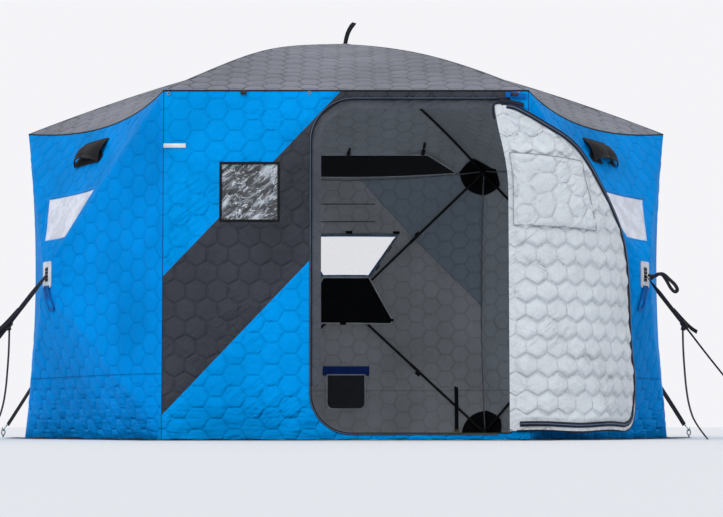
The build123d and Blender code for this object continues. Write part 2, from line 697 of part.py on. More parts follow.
def stay_hook(angle):
    """Wire hook from a stay's end, under the top of its anchor eye and up again."""
    start = (ANCHOR_RADIUS - STAY_END_GAP, STAY_END_HEIGHT)
    eye_top = ANCHOR_STEM_HEIGHT + 2 * ANCHOR_EYE
    bend = ANCHOR_WIRE + HOOK_WIRE + HOOK_CLEARANCE
    near, far, low = ANCHOR_RADIUS - bend, ANCHOR_RADIUS + bend, eye_top - bend
    points = [start, (near, eye_top + bend), (near, low), (far, low), (far, eye_top + HOOK_TIP)]
    path = stay_plane(angle, 0, 0) * FilletPolyline(*points, radius=[bend, 0.98 * bend, 0.98 * bend])
    section = Plane(path @ 0, z_dir=path % 0) * Circle(HOOK_WIRE)
    wire = sweep(section, path=path)
    frame, _ = stay_frame(angle, 1)
    bar = frame * (Pos(0, 0, HOOK_WIRE) * Rot(0, 90, 0) * Cylinder(HOOK_WIRE, WEBBING_WIDTH + HOOK_BAR_SPARE))
    return (wire + bar) - stay_strap(angle)


# ---- Loose straps: points of the route in an upright plane, from where the strap starts ----
STAY_TAIL = [(0, 0), (0, -95), (6, -200), (14, -310), (30, -410), (62, -498), (130, -528)]
TIE_STRAP = [(0, 0), (26, -30), (40, -95), (45, -180), (42, -286)]
TAIL_RADIUS_SHARE = 0.45


def corner_radii(points):
    """Largest arcs that each pair of runs leaves room for."""
    radii = []
    for before, at, after in zip(points, points[1:], points[2:]):
        first, last = Vector(*at) - Vector(*before), Vector(*after) - Vector(*at)
        turn = first.get_angle(last)
        radii.append(TAIL_RADIUS_SHARE * min(first.length, last.length) / tan(radians(turn / 2)))
    return radii


def loose_strap(plane, route):
    """Flat strap along a route in an upright plane."""
    radii = corner_radii(route)
    path = plane * FilletPolyline(*route, radius=radii)
    section = Plane(path @ 0, x_dir=plane.z_dir, z_dir=path % 0) * Rectangle(WEBBING_WIDTH, WEBBING_THICKNESS)
    return sweep(section, path=path)


def stay_tail(angle):
    place = keeper_place(angle)
    a = radians(angle)
    plane = Plane(place, x_dir=(cos(a), sin(a), 0), z_dir=(sin(a), -cos(a), 0))
    end = -place.Z + WEBBING_THICKNESS / 2 + 1
    return loose_strap(plane, STAY_TAIL[:-1] + [(STAY_TAIL[-1][0], end)])


# ---- Things hung on the lining ----
def lower_panel_plane(angle, height):
    """Plane on the lining of a wall's lower panel at its middle: X across, Y up it, Z inward."""
    top_z = HUB_HEIGHT - PATCH_HEIGHT / 2
    lean = Vector(0, top_z - SKIRT_THICKNESS, HUB_BULGE).normalized()
    a = radians(angle)
    share = (height - SKIRT_THICKNESS) / (top_z - SKIRT_THICKNESS)
    place = on_wall(angle, 0, APOTHEM - FABRIC + HUB_BULGE * share, height)
    up = Vector(cos(a) * lean.Z, sin(a) * lean.Z, lean.Y)
    across = Vector(sin(a), -cos(a), 0)
    return Plane(place, x_dir=across, z_dir=across.cross(up))


def pocket():
    outline = Pos(0, POCKET_HEIGHT / 2) * RectangleRounded(POCKET_WIDTH, POCKET_HEIGHT, POCKET_RADIUS)
    return extrude(lower_panel_plane(90, POCKET_FOOT) * outline, amount=POCKET_THICKNESS)


def blackout_flap(wall):
    """Cloth flap sewn below the back window, over the poles and down past the hub."""
    top_out = panel_out(0, WALL_WINDOW_FOOT) - FABRIC / 2
    head = WALL_WINDOW_FOOT - FLAP_DROP
    hang = panel_out(0, WALL_WINDOW_FOOT) - FABRIC - FLAP_STAND_OFF
    turn, end = (hang, head - FLAP_DROP), (hang - FLAP_LEAN, FLAP_FOOT)
    line = FilletPolyline((top_out, head), turn, end, radius=FLAP_BEND)
    profile = make_face(Curve() + [line, offset_line(line)])
    slab = extrude(stay_plane(90, 0, 0) * profile, amount=FLAP_FOOT_WIDTH, both=True)
    top, foot = head + FLAP_BEND, FLAP_FOOT - FLAP_BEND
    outline = Polyline((-FLAP_HEAD_WIDTH / 2, top), (FLAP_HEAD_WIDTH / 2, top),
                       (FLAP_FOOT_WIDTH / 2, foot), (-FLAP_FOOT_WIDTH / 2, foot), close=True)
    whole = slab & extrude(wall_plane(90, 0, APOTHEM, 0) * make_face(outline), amount=2 * HUB_BULGE)
    return (whole - wall).solids().sort_by(SortBy.VOLUME)[-1]


def offset_line(line):
    """Second side of the flap's thin profile, joined to the first at both ends."""
    second = line.offset_2d(FLAP_THICKNESS, side=Side.RIGHT, closed=False)
    ends = [Line(line @ 0, second @ 0), Line(line @ 1, second @ 1)]
    return Curve() + [second] + ends


def gear_net(roof):
    """Mesh shelf across the back eave, hung by a cord loop at each corner from the roof."""
    back_out = APOTHEM - EAVE_PULL - FABRIC - NET_EAVE_GAP
    half_front, half_back = NET_FRONT_WIDTH / 2, NET_BACK_WIDTH / 2
    top = [(-half_front, NET_FRONT_DEPTH, NET_FRONT_HEIGHT), (half_front, NET_FRONT_DEPTH, NET_FRONT_HEIGHT),
           (half_back, back_out, NET_BACK_HEIGHT), (-half_back, back_out, NET_BACK_HEIGHT)]
    face = make_face(Polyline(*[on_wall(90, *p) for p in top], close=True))
    net = extrude(face, amount=NET_THICKNESS, dir=(0, 0, -1))
    fall = (NET_FRONT_HEIGHT - NET_BACK_HEIGHT) / (back_out - NET_FRONT_DEPTH)
    for across, out, height in top:
        inward = NET_TAB if out == NET_FRONT_DEPTH else -NET_TAB
        foot_height = height - fall * inward - NET_THICKNESS
        foot = on_wall(90, across * (1 - NET_TAB / half_back), out + inward, foot_height)
        rod = Pos(foot) * Cylinder(NET_HANGER, 4 * EAVE_DIP, align=FROM_FOOT)
        net += (rod - roof).solids().sort_by(Axis.Z)[0]
    return net


def tie_strap(wall):
    """Short loose strap sewn to the back wall's lining near its right foot, over the pole."""
    inner_end, outer_end = [on_wall(90, -TIE_STRAP_X, out, TIE_STRAP_TOP) for out in (0, HUB_REACH)]
    probe = Line(inner_end, outer_end)
    seat = (probe.edge() & wall).vertices().sort_by(Axis.Y)[0]
    place = Vector(*seat) + Vector(0, FABRIC / 2, 0)
    plane = Plane(place, x_dir=(0, -1, 0), z_dir=(-1, 0, 0))
    return (loose_strap(plane, TIE_STRAP) - wall).solids().sort_by(SortBy.VOLUME)[-1]


def skirt():
    """Flat ring of cloth on the ground, under and outside the walls."""
    outer = RegularPolygon((APOTHEM + SKIRT_REACH) / cos(radians(30)), 6)
    inner = RegularPolygon((APOTHEM - FABRIC) / cos(radians(30)), 6)
    return Pos(0, PLAN_SHIFT, 0) * extrude(outer - inner, amount=SKIRT_THICKNESS)


def save_shell():
    """Walls, roof and their windows; returns the walls and roof gores by name."""
    walls, panes, gores = {}, [], {}
    for name, angle in HUB_WALLS.items():
        walls[name], pane = hub_wall(angle)
        panes.append(pane)
        save(f"wall_{name}", walls[name])
    save("wall_window_panes", *panes)
    for name, angle in dict(HUB_WALLS, front=FRONT_ANGLE).items():
        gores[name] = roof_gore(angle)
        save(f"roof_{name}", gores[name])
    save("roof_peak_patch", peak_patch())
    for name, piece in front_wall().items():
        save(name, piece)
    return walls, gores


def save_front_fittings():
    frame, film = front_window()
    save("front_window_frame", frame)
    save("front_window_film", film)
    save("door_zip", door_zip())
    save("door_surround", door_surround())
    field, binding = door_leaf()
    save("door_leaf", field)
    save("door_leaf_binding", binding)
    save("door_leaf_window_flap", leaf_window_flap())


def save_frame():
    corners = [60 * i for i in range(6)]
    save("wall_poles", *[one for angle in HUB_WALLS.values() for one in wall_poles(angle)])
    save("wall_hubs", *[hub_block(angle) for angle in HUB_WALLS.values()])
    save("corner_sockets", *[make(angle) for make in (top_socket, foot_block) for angle in corners])
    save("roof_poles", *[roof_pole(angle) for angle in corners])
    save("roof_hub", peak_hub())
    save("roof_pull_loop", peak_loop())


def save_stays():
    makers = {
        "hub_plates": hub_plate,
        "hub_pull_loops": hub_loop,
        "stay_straps": stay_strap,
        "stay_buckles": stay_buckle,
        "stay_hooks": stay_hook,
        "ground_anchors": ground_anchor,
    }
    for name, make in makers.items():
        save(name, *[make(angle) for angle in HUB_WALLS.values()])
    save("stay_tail_left", stay_tail(HUB_WALLS["front_left"]))
    save("stay_tail_right", stay_tail(HUB_WALLS["front_right"]))


def build():
    os.makedirs("parts", exist_ok=True)
    walls, gores = save_shell()
    save_front_fittings()
    save_frame()
    save_stays()
    save("vent_hoods", *[vent_hood(angle, walls[name]) for name, angle in HUB_WALLS.items()])
    save("gear_net", gear_net(gores["back"]))
    save("wall_pocket", pocket())
    save("window_blackout_flap", blackout_flap(walls["back"]))
    save("lining_tie_strap", tie_strap(walls["back"]))
    save("ground_skirt", skirt())


build()
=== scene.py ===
"""Looks of the six-sided ice fishing shelter: quilted fabric shell, open door, stays and lining.

Metres, in the CAD part's own frame: +Z up, the front wall with the door faces -Y.
"""
import math
import bpy
import numpy as np
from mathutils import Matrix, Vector
from mathutils.geometry import delaunay_2d_cdt


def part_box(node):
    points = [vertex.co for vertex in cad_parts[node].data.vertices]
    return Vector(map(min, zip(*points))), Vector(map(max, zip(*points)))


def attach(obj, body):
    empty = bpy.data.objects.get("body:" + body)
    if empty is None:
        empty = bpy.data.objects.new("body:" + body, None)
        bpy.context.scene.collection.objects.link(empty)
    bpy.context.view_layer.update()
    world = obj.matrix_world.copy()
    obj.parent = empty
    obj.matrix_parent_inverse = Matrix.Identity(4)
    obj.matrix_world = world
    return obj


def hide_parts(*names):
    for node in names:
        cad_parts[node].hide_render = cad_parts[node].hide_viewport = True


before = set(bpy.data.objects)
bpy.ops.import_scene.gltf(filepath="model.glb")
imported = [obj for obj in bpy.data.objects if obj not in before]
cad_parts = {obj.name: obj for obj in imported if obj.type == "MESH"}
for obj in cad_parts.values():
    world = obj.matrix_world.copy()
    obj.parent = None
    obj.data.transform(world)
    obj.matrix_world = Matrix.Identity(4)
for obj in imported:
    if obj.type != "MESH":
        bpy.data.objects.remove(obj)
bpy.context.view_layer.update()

# ---- Sizes read from the frame ----
FABRIC = 0.008
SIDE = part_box("roof_front")[1].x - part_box("roof_front")[0].x
WALL_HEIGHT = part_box("roof_front")[0].z + FABRIC
PEAK_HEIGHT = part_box("roof_front")[1].z
MID_Y = (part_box("ground_skirt")[0].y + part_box("ground_skirt")[1].y) / 2
HUB_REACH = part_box("wall_back")[1].y - MID_Y
HUB_HEIGHT = (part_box("hub_plates")[0].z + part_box("hub_plates")[1].z) / 2
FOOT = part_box("wall_back")[0].z
COS30 = math.cos(math.radians(30))
APOTHEM = SIDE * COS30
HUB_BULGE = HUB_REACH - APOTHEM

# ---- Shape of the shell ----
CORNER_BOW = 0.050
EAVE_PULL = 0.076
EAVE_DIP = 0.068
RIB_CROWN = 0.36
GORE_SAG = 0.024
PATCH_HALF = 0.062
PATCH_HEIGHT = 0.154
HUB_TOP = HUB_HEIGHT + PATCH_HEIGHT / 2
HUB_LOW = HUB_HEIGHT - PATCH_HEIGHT / 2
PEAK_PATCH = 0.066
SKIRT_REACH = 0.150
HUB_WALLS = {"front_left": 210, "back_left": 150, "back": 90, "back_right": 30, "front_right": 330}
BACK, FRONT = HUB_WALLS["back"], 270
ALL_WALLS = [*HUB_WALLS.values(), FRONT]
CORNERS = range(0, 360, 60)
FRONT_CORNERS = (240, 300)
RIDGE_SOFT = 0.020
UP, TO_FRONT = (0, 0, 1), (0, -1, 0)
STRAP_WIDTH, STRAP_THICK = 0.025, 0.0024

# ---- Front wall and doorway ----
DOOR_LEFT, DOOR_RIGHT = -0.175, 0.826
DOOR_TOP, DOOR_SILL = 1.710, 0.035
DOOR_TOP_RADIUS, DOOR_FOOT_RADIUS, DOOR_HINGE_RADIUS = 0.215, 0.200, 0.012
BAND_TOP_X, BAND_DROP, BAND_SLOPE = -0.024, 0.690, 46.4
HEAD_SPLIT = 0.0
FRONT_WINDOW, FRONT_WINDOW_X, FRONT_WINDOW_Z = 0.288, -0.483, 1.240
FRONT_Y = MID_Y - APOTHEM

# ---- Wall windows ----
WALL_WINDOW_HEAD, WALL_WINDOW_FOOT = 1.315, 1.060
WALL_WINDOW_HEAD_HALF, WALL_WINDOW_FOOT_HALF = 0.335, 0.150

# ---- Back lining: line above which a bluer tone is painted, as daylight let through the blue outside ----
PANEL_X, PANEL_Z, PANEL_SLOPE = 0.070, 1.690, 1.045

# ---- Quilting: cell, steps of the meshes and height of the puffs ----
CELL = 0.1067
SQRT3 = math.sqrt(3)
FINE, COARSE = 0.0145, 0.026
WALL_PUFF, WALL_LINING_PUFF = 0.0050, 0.0058
ROOF_PUFF, ROOF_LINING_PUFF = 0.0070, 0.0050
FRONT_PUFF, DARK_PUFF = 0.0040, 0.0036
LEAF_PUFF, LEAF_OUTSIDE_PUFF, FLAP_PUFF = 0.0135, 0.0040, 0.0110


# ---- Plane shapes ----
def arc(centre, radius, start, end, count=12):
    """Points on an arc between two angles in degrees."""
    turns = np.radians(np.linspace(start, end, count))
    return [(centre[0] + radius * math.cos(t), centre[1] + radius * math.sin(t)) for t in turns]


def resample(points, step, closed=False):
    """The same line with a point about every step; its corners stay."""
    points = [tuple(p) for p in points]
    pairs = list(zip(points, points[1:] + points[:1] if closed else points[1:]))
    made = []
    for a, b in pairs:
        count = max(1, round(math.dist(a, b) / step))
        made += [tuple(np.array(a) + (np.array(b) - a) * i / count) for i in range(count)]
    if not closed:
        made.append(points[-1])
    return np.array(made)


def inside(points, outline):
    """Which points lie inside an outline."""
    x, y = points[:, 0], points[:, 1]
    found = np.zeros(len(points), bool)
    for (x0, y0), (x1, y1) in zip(outline, np.roll(outline, -1, axis=0)):
        if y0 != y1:
            crosses = (y0 > y) != (y1 > y)
            found ^= crosses & (x < (x1 - x0) * (y - y0) / (y1 - y0) + x0)
    return found


def distance(points, targets):
    """Distance from each point to the nearest target."""
    found = np.full(len(points), np.inf)
    for start in range(0, len(targets), 200):
        part = targets[start:start + 200]
        gap = np.hypot(points[:, None, 0] - part[None, :, 0], points[:, None, 1] - part[None, :, 1])
        found = np.minimum(found, gap.min(axis=1))
    return found


def fill(outline, step, holes=(), lines=()):
    """Triangles that fill an outline around holes, with edges along lines, and distance to all of them."""
    loops = [resample(loop, step, closed=True) for loop in (outline, *holes)]
    opened = [resample(line, step) for line in lines]
    points, edges = [], []
    for loop in loops:
        first = len(points)
        points += [tuple(p) for p in loop]
        edges += [(first + i, first + (i + 1) % len(loop)) for i in range(len(loop))]
    for line in opened:
        first = len(points)
        points += [tuple(p) for p in line]
        edges += [(first + i, first + i + 1) for i in range(len(line) - 1)]
    rim = np.array(points)
    low, high = loops[0].min(axis=0), loops[0].max(axis=0)
    rows = np.arange(low[1], high[1], step * SQRT3 / 2)
    columns = np.arange(low[0], high[0], step)
    grid = np.array([(x + step / 2 * (i % 2), y) for i, y in enumerate(rows) for x in columns])
    keep = inside(grid, loops[0])
    for hole in loops[1:]:
        keep &= ~inside(grid, hole)
    grid = grid[keep]
    grid = grid[distance(grid, rim) > 0.6 * step]
    every = np.vstack([rim, grid])
    made, _, faces, *_ = delaunay_2d_cdt([Vector(p) for p in every], edges, [], 0, 1e-6, False)
    flat = np.array([tuple(p) for p in made])
    faces = np.array([tuple(f) for f in faces])
    middles = flat[faces].mean(axis=1)
    good = inside(middles, loops[0])
    for hole in loops[1:]:
        good &= ~inside(middles, hole)
    return flat, faces[good], distance(flat, rim)


# ---- Relief ----
def smooth(value):
    """Soft step from 0 to 1."""
    value = np.clip(value, 0, 1)
    return value * value * (3 - 2 * value)


def stack(*axes):
    """Points from an array or one value for each axis."""
    return np.stack(np.broadcast_arrays(*axes), axis=-1)


def unit(rows):
    """The same directions, each 1 long."""
    return rows / np.linalg.norm(rows, axis=-1, keepdims=True)


def lengths_along(path):
    """How far along a path each of its points lies."""
    return np.concatenate([[0], np.cumsum(np.linalg.norm(np.diff(path, axis=0), axis=1))])


def bend(a, b, c, t):
    """Quadratic curve from a to c with the control b."""
    return (1 - t) ** 2 * a + 2 * t * (1 - t) * b + t * t * c


def waves(a, b, length, seed, count=10):
    """Seeded smooth unevenness of about -1 to 1."""
    rng = np.random.default_rng(seed)
    total = np.zeros_like(a)
    for _ in range(count):
        turn, phase = rng.uniform(0, 2 * math.pi, 2)
        rate = 2 * math.pi / (length * rng.uniform(0.7, 1.5))
        total += np.sin(rate * (a * math.cos(turn) + b * math.sin(turn)) + phase)
    return total / math.sqrt(count)


def folds(a, b, turn, length, seed):
    """Soft ridges that run at an angle in degrees, uneven along their length."""
    t = math.radians(turn)
    across = -a * math.sin(t) + b * math.cos(t)
    along = a * math.cos(t) + b * math.sin(t)
    bent = across + 0.35 * length * waves(along, across, 5 * length, seed)
    ridge = 1 - np.abs(np.sin(math.pi * bent / length))
    return (ridge ** 1.6 - 0.35) * smooth(0.5 + 0.8 * waves(along, across, 6 * length, seed + 1))


def in_hexagon(a, b):
    """Place of a point from the middle of its hexagon, whose flats lie across a."""
    step = np.array([CELL, CELL * SQRT3])
    p = stack(a, b)
    one = np.mod(p + step / 2, step) - step / 2
    two = np.mod(p, step) - step / 2
    nearer = (one ** 2).sum(axis=-1) < (two ** 2).sum(axis=-1)
    return np.where(nearer[..., None], one, two).T


def seam_gap(a, b):
    """Distance to the nearest seam of the hexagons."""
    x, y = np.abs(in_hexagon(a, b))
    return CELL / 2 - np.maximum(x, x / 2 + y * SQRT3 / 2)


def puffs(a, b, height, seed):
    """Height of the quilting: a crowned pillow in each hexagon, pinched at its seams."""
    crown = 1 - (1 - np.clip(seam_gap(a, b) / (CELL / 2), 0, 1)) ** 3.2
    return height * crown * (1 + 0.25 * waves(a, b, 0.35, seed))


def row_puffs(a, b, height, seed):
    """Quilting that sags in rows: deep zigzag seams across b, shallow ones between, fuller low down."""
    x, y = in_hexagon(a, b)
    zigzag = CELL / 2 - (np.abs(x) / 2 + np.abs(y) * SQRT3 / 2)
    between = CELL / 2 - np.abs(x)
    row = 1 - (1 - np.clip(zigzag / (CELL / 2), 0, 1)) ** 4
    column = 1 - (1 - np.clip(between / (CELL / 2), 0, 1)) ** 4
    sag = 1 - 0.62 * y / (CELL / SQRT3)
    return height * row * (0.965 + 0.035 * column) * sag * (1 + 0.3 * waves(a, b, 0.25, seed))


# ---- Meshes ----
def piece(name, parts, finishes, body="shelter", nodes=()):
    """Join parts (points, faces, number of the finish, quilting coordinates) into one object on a body."""
    points, faces, index, quilt, first = [], [], [], [], 0
    for p, f, number, q in parts:
        points.append(np.asarray(p, float))
        faces += [tuple(int(i) + first for i in face) for face in f]
        index += [number] * len(f)
        quilt.append(np.zeros((len(p), 2)) if q is None else q)
        first += len(p)
    mesh = bpy.data.meshes.new(name)
    mesh.from_pydata([tuple(p) for p in np.vstack(points)], [], faces)
    for finish in finishes:
        mesh.materials.append(M[finish])
    mesh.polygons.foreach_set("material_index", np.asarray(index, np.int32))
    full = np.zeros((first, 3), np.float32)
    full[:, :2] = np.vstack(quilt)
    mesh.attributes.new("quilt", "FLOAT_VECTOR", "POINT").data.foreach_set("vector", full.ravel())
    mesh.polygons.foreach_set("use_smooth", np.full(len(mesh.polygons), True))
    mesh.update()
    obj = linked(bpy.data.objects.new(name, mesh))
    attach(obj, body)
    if nodes:
        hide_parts(*nodes)
    return obj


def linked(obj):
    """Put an object in the scene."""
    bpy.context.scene.collection.objects.link(obj)
    return obj


def sweep(path, profile, up, slot=0, closed=False):
    """Part of a piece: tube of a profile (across, up) along a path; up is one direction or one a point."""
    path = np.asarray(path, float)
    ups = np.broadcast_to(np.asarray(up, float), path.shape)
    if closed:
        ahead, behind = np.roll(path, -1, axis=0), np.roll(path, 1, axis=0)
    else:
        ahead, behind = np.vstack([path[1:], path[-1:]]), np.vstack([path[:1], path[:-1]])
    along = unit(ahead - behind)
    side = unit(np.cross(along, ups))
    top = np.cross(side, along)
    count, rings = len(profile), len(path)
    points = np.array([path[i] + side[i] * a + top[i] * b for i in range(rings) for a, b in profile])
    faces = []
    for i in range(rings if closed else rings - 1):
        here, there = i * count, (i + 1) % rings * count
        for k in range(count):
            m = (k + 1) % count
            faces.append((here + k, here + m, there + m, there + k))
    if not closed:
        faces.append(tuple(range(count)))
        faces.append(tuple(reversed(range((rings - 1) * count, rings * count))))
    quilt = np.array([(a, reach) for reach in lengths_along(path) for a, b in profile])
    return points, faces, slot, quilt


def round_profile(radius, sides=8):
    """Round bar or cord."""
    return [(radius * math.cos(2 * math.pi * i / sides), radius * math.sin(2 * math.pi * i / sides))
            for i in range(sides)]


def band_profile(width, thick):
    """Flat strip with softened edges."""
    w, t = width / 2, thick / 2
    return [(-w, 0), (-w * 0.9, -t), (w * 0.9, -t), (w, 0), (w * 0.9, t), (-w * 0.9, t)]


def grid_faces(rows, columns):
    """Faces of a grid of points, row by row."""
    return [(i * columns + j, i * columns + j + 1, (i + 1) * columns + j + 1, (i + 1) * columns + j)
            for i in range(rows - 1) for j in range(columns - 1)]


# ---- Materials ----
def linear(r, g, b):
    """Linear colour from one written in 0 to 255."""
    def one(c):
        c /= 255
        return c / 12.92 if c <= 0.04045 else ((c + 0.055) / 1.055) ** 2.4
    return (one(r), one(g), one(b), 1.0)


class Shader:
    """A material and short calls that add and join its nodes."""

    def __init__(self, name, colour, roughness=0.6, **values):
        self.material = bpy.data.materials.new(name)
        self.material.use_nodes = True
        self.nodes = self.material.node_tree.nodes
        self.links = self.material.node_tree.links
        self.base = self.nodes["Principled BSDF"]
        self.base.inputs["Base Color"].default_value = colour
        self.base.inputs["Roughness"].default_value = roughness
        for key, value in values.items():
            self.base.inputs[key.replace("_", " ").title().replace("Ior", "IOR")].default_value = value
        self.material.diffuse_color = colour

    def node(self, kind, inputs=None, **settings):
        made = self.nodes.new(kind)
        for key, value in settings.items():
            setattr(made, key, value)
        for key, value in (inputs or {}).items():
            self.give(made.inputs[key], value)
        return made

    def give(self, socket, value):
        if isinstance(value, bpy.types.NodeSocket):
            self.links.new(value, socket)
        else:
            socket.default_value = value

    def math(self, operation, a, b=0.0, c=0.0):
        return self.node("ShaderNodeMath", {0: a, 1: b, 2: c}, operation=operation).outputs[0]

    def vector(self, operation, a, b=(0, 0, 0), output=0):
        return self.node("ShaderNodeVectorMath", {0: a, 1: b}, operation=operation).outputs[output]

    def step(self, value, low, high, to_low=0.0, to_high=1.0):
        made = self.node("ShaderNodeMapRange", {"Value": value, "From Min": low, "From Max": high,
                                                "To Min": to_low, "To Max": to_high})
        made.interpolation_type = "SMOOTHSTEP"
        return made.outputs[0]

    def noise(self, vector, scale, detail=3.0, rough=0.55):
        return self.node("ShaderNodeTexNoise", {"Vector": vector, "Scale": scale, "Detail": detail,
                                                "Roughness": rough}).outputs[0]

    def place(self):
        return self.node("ShaderNodeTexCoord").outputs["Object"]

    def quilt(self):
        return self.node("ShaderNodeAttribute", attribute_name="quilt").outputs["Vector"]

    def mixed(self, kind, amount, low, high):
        mix = self.node("ShaderNodeMix", data_type=kind)
        for key, value in (("Factor", amount), ("A", low), ("B", high)):
            self.give(mix.inputs[key], value)
        return mix.outputs["Result"]

    def tint(self, amount, low, high):
        """A colour between two."""
        return self.mixed("RGBA", amount, low, high)

    def height(self):
        """Height above the ground."""
        return self.node("ShaderNodeSeparateXYZ", {0: self.place()}).outputs["Z"]

    def turned(self, vector, degrees):
        """Coordinates turned about the y axis."""
        return self.node("ShaderNodeVectorRotate", {"Vector": vector, "Angle": math.radians(degrees)},
                         rotation_type="Y_AXIS").outputs[0]

    def weave(self, strength, scale, **settings):
        """Fine woven grain from two crossed waves."""
        inputs = {"Vector": self.place(), "Scale": scale, **settings}
        threads = self.node("ShaderNodeTexWave", inputs).outputs[1]
        rows = self.node("ShaderNodeTexWave", inputs, bands_direction="Z").outputs[1]
        self.bump(self.math("MULTIPLY", threads, rows), strength, 0.0006)

    def glow(self, colour, strength):
        """Painted glow, from a colour or a socket: emission that stands in for daylight let through thin
        cloth.
        """
        self.give(self.base.inputs["Emission Color"], colour)
        self.base.inputs["Emission Strength"].default_value = strength

    def bump(self, height, strength, depth):
        made = self.node("ShaderNodeBump", {"Height": height, "Strength": strength, "Distance": depth})
        last = self.base.inputs["Normal"]
        if last.is_linked:
            self.links.new(last.links[0].from_socket, made.inputs["Normal"])
        self.links.new(made.outputs[0], last)

    def bent(self, vector, amount):
        """Coordinates pushed about by a slow noise, so that creases wander."""
        pushed = self.node("ShaderNodeTexNoise", {"Vector": vector, "Scale": 6.0}).outputs["Color"]
        pushed = self.vector("MULTIPLY", pushed, (amount, amount, amount))
        return self.vector("ADD", vector, pushed)

    def colour(self, socket):
        self.links.new(socket, self.base.inputs["Base Color"])


def shade(colour, share):
    """The same colour, darker or lighter."""
    return tuple(c * share for c in colour[:3]) + (1.0,)


def hex_seams(shader, flats=1.0):
    """Distance to the quilting seams, from the quilting coordinates; flats below 1 fades the flat sides."""
    q = shader.quilt()
    size = (CELL, CELL * SQRT3, 1.0)
    half = (CELL / 2, CELL * SQRT3 / 2, 0.5)
    found = []
    for offset in (half, (0, 0, 0)):
        moved = shader.vector("ADD", q, offset)
        far = shader.vector("ADD", moved, (40 * CELL, 40 * CELL * SQRT3, 0))
        wrapped = shader.vector("MODULO", far, size)
        local = shader.vector("SUBTRACT", wrapped, half)
        local = shader.vector("MULTIPLY", local, (1, 1, 0))
        found.append((local, shader.vector("LENGTH", local, output="Value")))
    nearer = shader.math("LESS_THAN", found[0][1], found[1][1])
    local = shader.vector("ABSOLUTE", shader.mixed("VECTOR", nearer, found[1][0], found[0][0]))
    slanted = shader.vector("DOT_PRODUCT", local, (0.5, SQRT3 / 2, 0), output="Value")
    upright = shader.vector("DOT_PRODUCT", local, (flats, 0, 0), output="Value")
    return shader.math("SUBTRACT", CELL / 2, shader.math("MAXIMUM", slanted, upright))


def quilted(name, colour, roughness, seam=0.15, variation=0.07, cross=None, crease=0.6, gloss=0.2,
            crumple=0.4, glow=0.0, hem=0.0, seam_width=0.003, wrinkles=0.0, tint=None, flats=1.0, pull=(),
            painted_light_panel=None):
    """Quilted coated cloth: weave, hexagon seams drawn darker as a stitch line with painted shade in their
    creases, crinkles, faint wear and unevenness; optional painted glow for daylight let through it, and an
    optional bluer tone above a slanted line, painted as daylight through the blue outside.
    """
    s = Shader(name, colour, roughness, specular_ior_level=gloss)
    if tint:
        s.base.inputs["Specular Tint"].default_value = tint
    place = s.place()
    gap = hex_seams(s, flats)
    patchy = s.noise(place, 2.2, 4.0)
    low, high = shade(colour, 1 - 2 * variation), shade(colour, 1 + 2 * variation)
    body = s.tint(s.step(patchy, 0.3, 0.7), low, high)
    # Painted light: above a slanted line the cloth takes a bluer tone, as daylight let through the blue
    # outside.
    if painted_light_panel:
        slope, level, painted_light_colour = painted_light_panel
        over = s.vector("DOT_PRODUCT", place, (slope, 0, 1), output="Value")
        body = s.tint(s.step(over, level - 0.002, level + 0.002), body, painted_light_colour)
    speckle = s.noise(place, 260.0, 2.0)
    body = s.tint(s.step(speckle, 0.25, 0.75, 0.0, 0.10), body, shade(colour, 0.6))
    # The hexagon seams are drawn darker, fading in patches: a stitch line plus painted shade in the seam
    # creases.
    faint = s.step(s.noise(place, 5.0, 2.0), 0.35, 0.65, 0.45, 1.0)
    seam_line_and_shade = s.step(gap, 0.2 * seam_width, seam_width, seam, 0.0)
    body = s.tint(s.math("MULTIPLY", seam_line_and_shade, faint), body, shade(colour, 0.2))
    if cross is not None:
        line = s.step(s.math("ABSOLUTE", s.math("SUBTRACT", s.height(), cross)), 0.001, 0.005, 1.0, 0.0)
        body = s.tint(s.math("MULTIPLY", line, 0.4), body, shade(colour, 0.3))
        s.bump(line, 0.7, -0.005)
    s.colour(body)
    # Painted glow: the cloth emits its own colour, standing in for daylight let through it.
    if glow:
        s.glow(body, glow)
    s.weave(0.25, 420.0, Distortion=0.6)
    s.bump(s.noise(s.bent(place, 0.05), 30.0, 5.0, 0.6), crumple, 0.006)
    if hem:
        lying = s.noise(s.bent(s.vector("MULTIPLY", place, (0.45, 0.45, 2.6)), 0.12), 10.0, 3.0, 0.45)
        s.bump(lying, s.step(s.height(), hem - 0.05, hem + 0.01, 0.9, 0.0), 0.020)
    for turn, strength in pull:
        drawn = s.vector("MULTIPLY", s.turned(place, turn), (0.30, 1.0, 1.9))
        drawn = s.noise(s.bent(drawn, 0.06), 11.0, 4.0, 0.5)
        where = s.step(s.noise(s.vector("ADD", place, (turn, 0, 0)), 3.0, 2.0), 0.46, 0.66)
        s.bump(drawn, s.math("MULTIPLY", where, strength), 0.045)
    if wrinkles:
        s.bump(s.noise(s.bent(place, 0.10), 13.0, 6.0, 0.62), wrinkles, 0.016)
    s.bump(s.step(gap, 0.0, 0.011), crease, 0.0045)
    return s.material


def plain_cloth(name, colour, roughness=0.75, weave=0.3, scale=500.0, gloss=0.2):
    """Unquilted cloth or tape."""
    s = Shader(name, colour, roughness, specular_ior_level=gloss)
    place = s.place()
    patchy = s.noise(place, 9.0, 4.0)
    s.colour(s.tint(s.step(patchy, 0.3, 0.7), shade(colour, 0.85), shade(colour, 1.15)))
    s.weave(weave, scale)
    s.bump(s.noise(place, 30.0), 0.3, 0.003)
    return s.material


